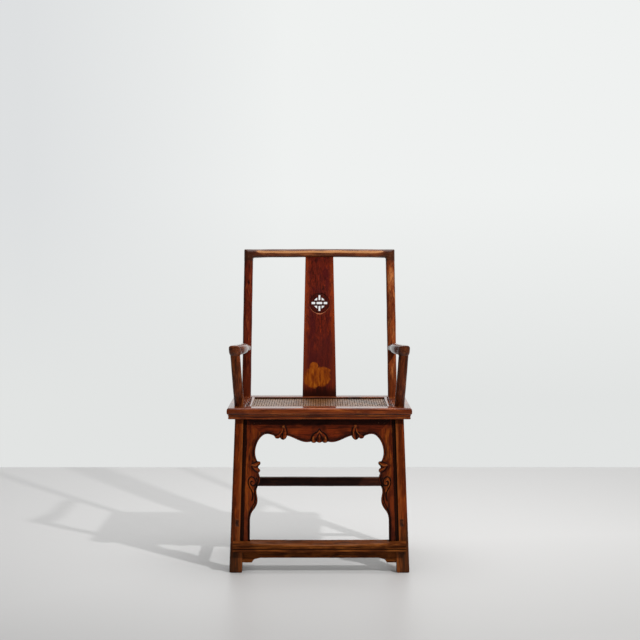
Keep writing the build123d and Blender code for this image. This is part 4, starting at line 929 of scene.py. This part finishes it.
# The leaf below the shoulder, then the scroll: its outer turn starts in the middle of the curl, winds out
# over the top and falls as a long tail.
sideLines = [
    ([(-17, -147), (-25, -150), (-34, -147), (-44, -138)], 2.4, 1.6),
    ([(-18, -151), (-27, -156), (-35, -152), (-40, -146)], 1.2, -1.3),
    ([(-18, -150), (-27, -160), (-36, -164), (-42, -167)], 2.2, 1.4),
    ([(-16, -153), (-24, -165), (-34, -172)], 1.2, -1.3),
    ([(-15, -146), (-22, -142), (-30, -139), (-35, -133)], 1.2, -1.2),
    ([(-22, -204), (-17, -200), (-13, -206), (-17, -214), (-26, -213), (-30, -203), (-25, -191), (-15, -186),
      (-7, -193), (-5, -206), (-10, -219), (-17, -232), (-20, -246), (-17, -262)], 1.5, -1.5),
    ([(-20, -208), (-21, -202), (-16, -195), (-9, -200), (-9, -209), (-14, -221), (-22, -234)], 2.0, 1.3),
    ([(-31, -190), (-36, -200), (-34, -212), (-29, -226), (-27, -238), (-29, -254), (-24, -272), (-15, -290),
      (-9, -305), (-7, -330), (-7, -395)], 1.3, -1.4),
    ([(-32, -224), (-30, -237), (-31, -252), (-27, -270), (-18, -287)], 1.8, 0.9),
]
# Stems of the leaves, each with its reach, within which the bead gives way to the leaf.
topStems = [(smoothLine([(114, -28), (117, -45), (121, -60)]), 13),
            (np.array([(0.0, -40.0), (0.0, -78.0)]), 27)]
sideStems = [(np.array([(-20.0, -150.0), (-40.0, -140.0)]), 15),
             (np.array([(-20.0, -156.0), (-40.0, -168.0)]), 12)]


def carvedBoard(across, up, back, cutEdge, lines, stems, corner, calmFull, loss):
    # A board of the arch as a tube: each row runs over the carved face and back behind it. The face's height
    # is the edge relief, faded out near the stems, plus each carved line as a hill along its curve, less a
    # softening at the mitre and what the loss says. Lines and stems are measured from the given corner.
    a = arch
    across, up = np.broadcast_arrays(across, up)
    x, y = across.ravel(), up.ravel()
    away = distanceTo(np.stack([x, y], axis=-1), cutEdge[::2])
    local = np.stack([np.abs(x) - corner, y], axis=-1)
    calm = ease(np.minimum(*[distanceTo(local, stem) / reach for stem, reach in stems]), 0.75, calmFull)
    leaves = sum(height * bump(distanceTo(local, smoothLine(through)), width)
                 for through, width, height in lines)
    height = edgeRelief(away) * calm + a["leafHeight"] * leaves
    height -= a["leafEdge"] * np.exp(-away / a["leafEdgeFall"]) * (1 - calm)
    height += a["uneven"] * ripple(x, y, a["unevenLength"])
    mitre = np.abs(np.abs(x) + y - archHalf) / math.sqrt(2)
    height -= a["mitreSoft"] * np.exp(-mitre / a["mitreFall"])
    height, calm = height.reshape(up.shape) - loss, calm.reshape(up.shape)
    front = bayToChair(across, up, np.minimum(height, a["highest"]) - a["setback"])
    behind = bayToChair(*back, -a["setback"] - a["thickness"])
    # Low places of the carving are darker, dirt and painted shade in the crevices; raised parts are lighter,
    # wear and painted highlight.
    dirtAndShade = a["leafDirt"] * (1 - calm) - height * a["crevice"] - a["dirtFrom"]
    blank = np.zeros(behind.shape[:2])
    tones = [np.concatenate([np.clip(tone, 0, 1), blank], axis=1) for tone in (height * a["rubAndHighlight"], dirtAndShade)]
    return tube(np.concatenate([front, behind], axis=1), *tones)


def topBoard():
    # Height of the lower edge is read for each X; between it and the frame the rows close up towards the
    # edge, where the carving is. The section through the board is a ring that shrinks to the mitre's tips.
    low = topOutline[topOutline[:, 1] < -0.5]
    low = low[np.argsort(low[:, 0])]
    end = archHalf - arch["tip"]
    x = np.linspace(-end, end, int(2 * archHalf / arch["grid"]) | 1)
    bottom = np.interp(x, [-archHalf, *low[:, 0], archHalf], [0, *low[:, 1], 0])
    cutEdge = np.stack([x, bottom], axis=-1)[np.abs(x) < archHalf - arch["mitre"]]
    x, bottom = x[:, None], bottom[:, None]
    up = bottom * (1 - np.linspace(0, 1, 56) ** 1.5)
    back = (x, (bottom + arch["backLift"]) * np.linspace(0, 1, 8))
    return carvedBoard(x, up, back, cutEdge, topLines, topStems, 0, 1.15, 0.6 * np.exp(up / 0.8))


def sideBoard():
    # Upright of the arch: the inner edge is read for each height, the outer edge follows the leg's slope.
    a = arch
    deep = seatUnder - footHigh[2] + a["sideBelow"]
    coarse = np.linspace(a["sideFineTo"], deep, int((deep - a["sideFineTo"]) / a["sideGrid"]))
    up = -np.concatenate([np.linspace(a["sideFrom"], a["sideFineTo"], 56), coarse[1:]])
    slope = (leg["splay"] - leg["foot"] + leg["top"]) / seatUnder
    outline = frontOutline("apron_front_right")
    found = outline[outline[:, 0] < archHalf - 1.5 - 0.02 * np.abs(outline[:, 1])]
    found = found[found[:, 1] < -1.0]
    found = found[np.argsort(-found[:, 1])]
    inner = np.interp(-up, [0, *-found[:, 1]], [archHalf, *found[:, 0]])
    cutEdge = np.stack([inner, up], axis=-1)[up < -a["mitre"]]
    up, inner = up[:, None], inner[:, None]
    outer = archHalf - slope * up - a["sideGap"]
    across = inner + (outer - inner) * np.linspace(0, 1, 44) ** 1.25
    back = (inner + (outer - inner) * np.linspace(1, 0.02, 8), up)
    loss = 1.2 * np.exp((across - outer) / 1.2)
    return carvedBoard(across, up, back, cutEdge, sideLines, sideStems, archHalf, 1.2, loss)


topOutline = frontOutline("apron_front_top")
archHalf = -topOutline[:, 0].min()
makePiece("frontArchTop", [topBoard()], wood["archWoodX"], "apron_wood", "apron_front_top", sharpAbove=60)
makePair("frontArchSide", [sideBoard()], [wood["archWoodZ"]], "apron_wood", "apron_front")
print("front arch is carved")


# The front's corners are (behind the front face, height): mouldings from the underside up, then the top edge
# from the upper side down. Wavy values are (height, wave length).
footRail = {
    "depth": 58.0, "soft": 0.7, "spacing": 4.0, "reedWear": 0.45, "reedDirtAndShade": 0.8, "polish": 0.8,
    "mouldings": ((4.2, 0), (2.4, 2.0), (2.4, 6.0), (4.2, 8.0), (4.8, 9.1), (2.7, 10.2), (2.0, 11.6),
                  (2.0, 13.6), (2.7, 15.0), (4.8, 16.1), (1.6, 17.2), (0, 20.0)),
    "topEdge": ((0, 6.0), (1.4, 1.6), (4.5, 0)),
    "wear": 11.0, "wearHalf": 255.0, "wearPower": 0.8, "wornAbove": 12.0, "blend": 1.5, "blendShare": 0.4,
    "longWaves": (0.10, 31.0), "shortWaves": (0.35, 11.0), "dents": (0.25, 14.0), "edgeWander": (0.5, 55.0),
    "faceWander": (0.4, 26.0),
}


def footBar():
    # The moulded section is carried along X. Its top front edge is worn down by feet: at each X the surface
    # may not stand above a slope that falls from the back edge to a hollow in the front edge, and the two
    # are blended by a smooth lower bound. The hollow's depth is a parabola of X.
    f = footRail
    w, t = f["depth"], footHigh[2] - footLow[2]
    corners = [(0, 0)] + [(w - behind, height) for behind, height in f["mouldings"]]
    corners += [(w - behind, t - below) for behind, below in f["topEdge"]] + [(0, t)]
    ring = fillSides(roundCorners(corners, f["soft"], 3), 1.6)
    wear, dirtAndShade = edgeTone(ring, 2.2)
    x = np.linspace(footLow[0], footHigh[0], int((footHigh[0] - footLow[0]) / f["spacing"]))[:, None]
    x, forward, level = np.broadcast_arrays(x, ring[None, :, 0], ring[None, :, 1])

    def wavy(key, y):
        # The named unevenness at X, its height times the crossing waves; y picks another stretch of them.
        height, length = f[key]
        return height * ripple(x, y, length)

    hollow = f["wear"] * np.clip(1 - (x / f["wearHalf"]) ** 2, 0, 1) ** f["wearPower"]
    hollow = hollow * (1 + wavy("longWaves", 0)) + wavy("shortWaves", 9) * (hollow > 1)
    dents = (f["dents"][0] + wavy("dents", forward)) * (hollow > 1)
    gap = t - hollow * ease(forward, -20.0, w) - dents - level
    blend = f["blend"] * f["blendShare"] * np.exp(-np.abs(gap) / f["blend"]) * (hollow > 0.5)
    up = np.where(level > f["wornAbove"], level + np.minimum(gap, 0) - blend, level)
    front = ease(forward, w - 12, w - 1) * ease(hollow, 0, 4)
    up = up + front * wavy("edgeWander", 3) * (level > 1)
    forward = forward - front * (f["faceWander"][0] + wavy("faceWander", up))
    worn = f["polish"] * ease(hollow, 1.0, 6.0) * ease(forward, w - 34, w - 10) * (level > 14)
    rows = np.stack([x, footLow[1] + w - forward, footLow[2] + up], axis=-1)
    # The reeds' grooves are darkened: dirt and painted shade.
    return tube(rows, np.maximum(f["reedWear"] * wear, worn), f["reedDirtAndShade"] * dirtAndShade)


makePiece("footRail", [footBar()], wood["footWood"], "foot_rail_wood", "foot_rail")

stretcher = {
    "sideHeight": 160.0, "sideSize": (22.0, 30.0), "backHeight": 233.0, "backSize": (24.0, 31.0),
    "round": 6.0, "uneven": 0.3, "unevenLength": 70.0, "tenon": (13.0, 25.0), "tenonRound": 0.8,
    "tenonLength": 6.0, "tenonSoft": 0.35, "proud": 0.25, "tenonWear": 1.0,
}


def roundedBar(start, end, size, sideways):
    # A rounded bar between two points.
    s = stretcher
    ring = roundedBox(*size, s["round"], 7)
    path = np.linspace(0, 1, 60)[:, None] * (np.asarray(end, float) - start) + start
    rows = carry(path, ring, sideways)
    rows[..., 2] += s["uneven"] * ripple(path[:, :1] + path[:, 1:2], rows[..., 2], s["unevenLength"])
    return tube(rows, *edgeTone(ring))


def tenonEnd(x, y, z, out):
    # End of a through tenon: a small block that stands a little proud of the leaning face.
    s = stretcher
    across, up = roundedBox(*s["tenon"], s["tenonRound"], 3).T
    depth = s["tenonLength"] * np.array([-1.0, -0.5, 0.0])[:, None] - up * math.tan(tilt) + s["proud"]
    rows = np.stack([x + across + 0 * depth, y + out * depth, z + up + 0 * depth], axis=-1)
    return tube(softEnds(rows, s["tenonSoft"]), wear=s["tenonWear"])


z = stretcher["sideHeight"]
x, y, wide = legCentre(z)
bar = roundedBar((x, -y, z), (x, y, z), stretcher["sideSize"], (1, 0, 0))
ends = [tenonEnd(x, turn * (y + wide / 2), z, turn) for turn in (-1, 1)]
makePair("sideStretcher", [bar] + ends, [wood["stretcherWoodY"]], "stretcher_wood", "stretcher")
z = stretcher["backHeight"]
x, y, wide = legCentre(z)
bar = roundedBar((-x, y, z), (x, y, z), stretcher["backSize"], (0, 1, 0))
makePiece("backStretcher", [bar], wood["stretcherWoodX"], "stretcher_wood", "stretcher_back")

splat = {
    "thickness": 13.0, "medallion": 846.0, "disc": 34.6, "sink": 1.8, "backInset": 0.3, "soft": 0.9,
    "latticeSoft": 0.8, "spacing": 5.0, "steps": 56, "rimHighlight": 1.6, "edgeWear": 0.5, "rimDirt": 0.7,
    "latticeDirt": 0.72, "ribExtra": 0.2, "openingScale": 0.95, "rimExtra": 0.6,
    "line": ((196.0, 516.0), (194.0, 640.0), (216.0, 765.0), (249.0, 890.0), (278.8, 1012.5)),
}


def splatLine(z):
    # Middle of the splat's thickness by height: the one polynomial of fourth degree through its five places.
    y, height = np.array(splat["line"]).T
    middle = height[2]
    return np.polyval(np.polyfit(height - middle, y, 4), z - middle)


def splatPlate():
    # A board about a round hole. Spokes run from the hole to the outline; along each, a closed section goes
    # out over the face, round the edge, back behind and through the hole. It bends with the middle line.
    s = splat
    low, high = boxOf("back_splat")
    points = solidPoints("back_splat")
    foot = points[points[:, 2] < low[2] + 1.0, 0].max()
    head = points[points[:, 2] > high[2] - 1.0, 0].max()
    corners = np.array([(foot, low[2]), (head, high[2]), (-head, high[2]), (-foot, low[2])])
    outline = fillSides(corners, s["spacing"])[:, None] - [0, s["medallion"]]
    spoke = outline / np.linalg.norm(outline, axis=-1, keepdims=True)
    hole = spoke * s["disc"]
    half, soft, steps = s["thickness"] / 2, s["soft"], s["steps"]
    inner = hole + spoke * soft
    face = inner + (outline - inner) * np.linspace(0, 1, steps)[None, :, None]
    # Section: face, edge, back, hole wall. Depth is across the board, from -half in front to +half behind.
    plane = np.concatenate([face, outline, outline, face[:, ::-1], hole, hole], axis=1)
    depth = np.repeat([-half, soft - half, half - soft, half, half - soft, soft - half],
                      [steps, 1, 1, steps, 1, 1])
    # The board's long arrises are drawn in by the softening, so that the edge is round.
    arrises = [steps - 1, steps + 2]
    plane[:, arrises, 0] -= soft * np.sign(plane[:, arrises, 0])
    z = plane[..., 1] + s["medallion"]
    rows = np.stack([plane[..., 0], splatLine(z) + depth, z], axis=-1)
    count, columns = rows.shape[:2]
    points = rows.reshape(-1, 3)
    # The last row is joined to the first.
    faces = ringFaces(count + 1, columns) % (count * columns)
    if facesInwards(points, faces):
        faces = faces[:, ::-1]
    wear, dirtAndShade = np.zeros((2, count, columns))
    wear[:, steps - 2:steps + 4] = s["edgeWear"]
    # A painted highlight on the lower part of the hole's rounded rim, where it catches the light.
    wear[:, 0] = s["rimHighlight"] * ease(-hole[:, 0, 1], -10, 25)
    dirtAndShade[:, -1] = s["rimDirt"]
    return points, faces, np.zeros((0, 3), int), [wear.ravel(), dirtAndShade.ravel()]


def latticeRings():
    # Edges of the openings, read from the frame: faces that look forward inside the sunken disc are picked,
    # and each line that only one of them touches belongs to the disc's rim or to an opening.
    shape = bmesh.new()
    shape.from_mesh(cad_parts["back_splat"].data)
    bmesh.ops.remove_doubles(shape, verts=shape.verts, dist=1e-5)
    shape.normal_update()
    reach = (splat["disc"] + 0.05) * mm
    inside = []
    for face in shape.faces:
        place = face.calc_center_median()
        if face.normal.y < -0.9 and math.hypot(place.x, place.z - splat["medallion"] * mm) < reach:
            inside.append(face)
    chosen = set(inside)
    follow = {}
    for face in inside:
        for corner in face.loops:
            if sum(other in chosen for other in corner.edge.link_faces) == 1:
                follow[corner.vert.index] = corner.link_loop_next.vert
    rings = []
    while follow:
        start, vert = follow.popitem()
        ring = [vert.co[:]]
        while vert.index != start:
            vert = follow.pop(vert.index)
            ring.append(vert.co[:])
        rings.append((np.array(ring) / mm)[:, [0, 2]] - [0, splat["medallion"]])
    shape.free()
    return rings


def splatLattice():
    # The openwork disc: a flat filled curve with rounded edges, made a mesh, set back, bent like the board.
    s = splat
    curve = bpy.data.curves.new("lattice", "CURVE")
    curve.dimensions = "2D"
    curve.fill_mode = "BOTH"
    for ring in latticeRings():
        isRim = np.abs(ring).max() > s["disc"] - 0.5
        ring = ring * (1 + s["rimExtra"] / s["disc"] if isRim else s["openingScale"])
        line = curve.splines.new("POLY")
        line.points.add(len(ring) - 1)
        places = np.concatenate([ring, np.tile([0.0, 1.0], (len(ring), 1))], axis=1)
        line.points.foreach_set("co", places.ravel())
        line.use_cyclic_u = True
    half = (s["thickness"] - s["sink"] - s["backInset"]) / 2
    curve.extrude = half - s["latticeSoft"]
    curve.bevel_depth = s["latticeSoft"]
    curve.bevel_resolution = 1
    curve.offset = s["ribExtra"] - s["latticeSoft"]
    mesh = bpy.data.meshes.new_from_object(bpy.data.objects.new("lattice", curve))
    shape = bmesh.new()
    shape.from_mesh(mesh)
    bmesh.ops.remove_doubles(shape, verts=shape.verts, dist=1e-3)
    bmesh.ops.triangulate(shape, faces=shape.faces)
    bmesh.ops.recalc_face_normals(shape, faces=shape.faces)
    shape.to_mesh(mesh)
    shape.free()
    x, up, out = meshPoints(mesh).T
    triangles = np.zeros(len(mesh.polygons) * 3, int)
    mesh.polygons.foreach_get("vertices", triangles)
    z = up + s["medallion"]
    y = splatLine(z) + (s["sink"] - s["backInset"]) / 2 - out
    # The lattice darkens with depth: dirt and painted shade in the sunken disc.
    dirtAndShade = np.clip(s["latticeDirt"] + (half - 0.3 - out) * 0.8, 0, 0.9)
    return (np.stack([x, y, z], axis=-1), np.zeros((0, 4), int), triangles.reshape(-1, 3),
            [np.zeros(len(x)), dirtAndShade])


makePiece("splat", [splatPlate(), splatLattice()], wood["splatWood"], "splat_wood", "back_splat",
          sharpAbove=50)
print("splat is made")

# Plain pieces keep the frame's solids, with their arrises eased: (node, wood, slot, how soft).
plain = {
    "footApron": ("foot_rail_apron", "footWood", "foot_rail_wood", 0.8),
    "backApron": ("apron_back", "archWoodX", "apron_wood", 0.8),
    "braceLeft": ("seat_brace_left", "stretcherWoodY", "stretcher_wood", 0.8),
    "braceRight": ("seat_brace_right", "stretcherWoodY", "stretcher_wood", 0.8),
    "pegs": ("joint_pegs", "pegWood", "peg_wood", 0.3),
}
for hand in ("Left", "Right"):
    for part, woodName in (("Top", "archWoodY"), ("Front", "archWoodZ"), ("Rear", "archWoodZ")):
        nodeName = "apron_" + hand.lower() + "_" + part.lower()
        plain["sideArch" + part + hand] = (nodeName, woodName, "apron_wood", 0.8)
for name, (nodeName, woodName, slotName, soft) in plain.items():
    softenedCopy(name, nodeName, wood[woodName], soft)
print("foot rail, stretchers and plain pieces are made")


# The room is in metres, apart from floorBack. Ranges are the places, or the parts of a direction, between
# which a tint or a light sets in.
studio = {
    "floor": "#A9A8A7", "floorFar": "#F0EFEE", "floorRange": (-1.6, 2.2), "floorBack": 2310.0,
    "floorReach": 6.0, "floorGloss": 0.42, "floorUnderLamp": "#8A8988", "lampPool": (1.0, 2.4, 0.5, 0.0),
    "backdrop": "#EFF1F0", "backdropLow": "#E2E4E3", "backdropLeft": "#DEE0E1", "leftRange": (-0.17, -0.02),
    "lowRange": (-0.09, 0.03), "darkRoom": 0.04, "wallRange": (0.30, 0.75),
    "ambient": (0.14, 0.60), "ambientRange": (-0.6, 0.8), "fromRight": 0.5,
    "keyPower": 58.0, "keyPlace": (1.18, -1.93, 2.01), "keySize": 0.07,
    "topPower": 46.0, "topPlace": (0.15, 0.10, 2.9), "topSize": 2.2, "aim": (0.0, 0.0, 0.5),
}
lens = {"focalPixels": 1676.6, "imagePixels": 640.0, "sensor": 36.0, "distance": 5541.6, "height": 1048.3,
        "tilt": 2.585, "aside": 2.0, "farthest": 60.0}


def studioFloor():
    # Painted floor: pale grey, with painted light that makes it paler towards the wall, and a slight sheen
    # that mirrors the feet.
    material = bpy.data.materials.new("paintedFloor")
    tree = emptyTree(material)
    place = node(tree, "TexCoord", out="Object")
    away = node(tree, "SeparateXYZ", [place], "Y")
    share = node(tree, "MapRange", [away, *studio["floorRange"]])
    tint = node(tree, "Mix", {0: share, 6: colour(studio["floor"]), 7: colour(studio["floorFar"])}, 2,
                data_type="RGBA")
    # A darker tone below the key lamp evens out its pool of light.
    foot = (*studio["keyPlace"][:2], 0.0)
    away = node(tree, "VectorMath", [place, foot], "Value", operation="DISTANCE")
    share = node(tree, "MapRange", [away, *studio["lampPool"]])
    tint = node(tree, "Mix", {0: share, 6: tint, 7: colour(studio["floorUnderLamp"])}, 2, data_type="RGBA")
    shader = node(tree, "BsdfPrincipled", {"Base Color": tint, "Roughness": studio["floorGloss"]})
    node(tree, "OutputMaterial", {"Surface": shader}, None)
    reach, back = studio["floorReach"], (studio["floorBack"] + seatMiddle[1]) * mm
    mesh = bpy.data.meshes.new("studioFloor")
    corners = [(-reach, -reach - 2, 0), (reach, -reach - 2, 0), (reach, back, 0), (-reach, back, 0)]
    mesh.from_pydata(corners, [], [(0, 1, 2, 3)])
    mesh.materials.append(material)
    floor = bpy.data.objects.new("studioFloor", mesh)
    bpy.context.scene.collection.objects.link(floor)


def studioWorld():
    # Pale backdrop for what the camera sees and for mirrored rays; towards the camera's side of the room the
    # mirrored backdrop falls off, so dark lacquer keeps its depth. All other rays get plain light from above.
    world = bpy.data.worlds.new("studio")
    bpy.context.scene.world = world
    tree = emptyTree(world)
    rays = node(tree, "LightPath", out=None)
    way = node(tree, "SeparateXYZ", [node(tree, "TexCoord", out="Generated")], None)
    mirrored = node(tree, "MapRange", [way["Y"], *studio["wallRange"], studio["darkRoom"], 1.0])
    level = node(tree, "Math", [rays["Is Camera Ray"], mirrored], operation="MAXIMUM")
    # The backdrop is darker to the left and low down: painted shade on the wall that the camera sees.
    aside = node(tree, "MapRange", [way["X"], *studio["leftRange"]])
    tint = node(tree, "Mix", {0: aside, 6: colour(studio["backdropLeft"]), 7: colour(studio["backdrop"])}, 2,
                data_type="RGBA")
    height = node(tree, "MapRange", [way["Z"], *studio["lowRange"]])
    tint = node(tree, "Mix", {0: height, 6: colour(studio["backdropLow"]), 7: tint}, 2, data_type="RGBA")
    shown = node(tree, "Background", {"Color": tint, "Strength": level})
    above = node(tree, "MapRange", [way["Z"], *studio["ambientRange"], *studio["ambient"]])
    right = node(tree, "MapRange", [way["X"], -1.0, 1.0, 1 - studio["fromRight"], 1 + studio["fromRight"]])
    strength = node(tree, "Math", [above, right], operation="MULTIPLY")
    ambient = node(tree, "Background", {"Strength": strength})
    seen = node(tree, "Math", [rays["Is Camera Ray"], rays["Is Glossy Ray"]], operation="MAXIMUM")
    seen = node(tree, "Math", [seen, rays["Is Transmission Ray"]], operation="MAXIMUM")
    both = node(tree, "MixShader", [seen, ambient, shown])
    node(tree, "OutputWorld", {"Surface": both}, None)


def areaLamp(name, power, place, size):
    # Soft square lamp, aimed at the seat.
    lamp = bpy.data.lights.new(name, "AREA")
    lamp.energy = power
    lamp.size = size
    holder = bpy.data.objects.new(name, lamp)
    holder.location = place
    bpy.context.scene.collection.objects.link(holder)
    x, y, z = np.array(studio["aim"]) - place
    holder.rotation_euler = (math.atan2(math.hypot(x, y), -z), 0, math.pi + math.atan2(x, -y))
    return holder


studioFloor()
studioWorld()
# The small key lamp gives the floor its clear shadows, but no mirrored spot on round wood.
keyLamp = areaLamp("keyLamp", studio["keyPower"], studio["keyPlace"], studio["keySize"])
keyLamp.visible_glossy = False
areaLamp("topLamp", studio["topPower"], studio["topPlace"], studio["topSize"])

camera = bpy.data.cameras.new("camera")
camera.sensor_width = lens["sensor"]
camera.lens = lens["focalPixels"] / lens["imagePixels"] * lens["sensor"]
camera.clip_end = lens["farthest"]
holder = bpy.data.objects.new("camera", camera)
holder.location = (lens["aside"] * mm, (seatMiddle[1] - lens["distance"]) * mm, lens["height"] * mm)
holder.rotation_euler = (math.radians(90 - lens["tilt"]), 0, 0)
bpy.context.scene.collection.objects.link(holder)
bpy.context.scene.camera = holder
bpy.context.scene.view_settings.view_transform = "Standard"
print("studio is set")
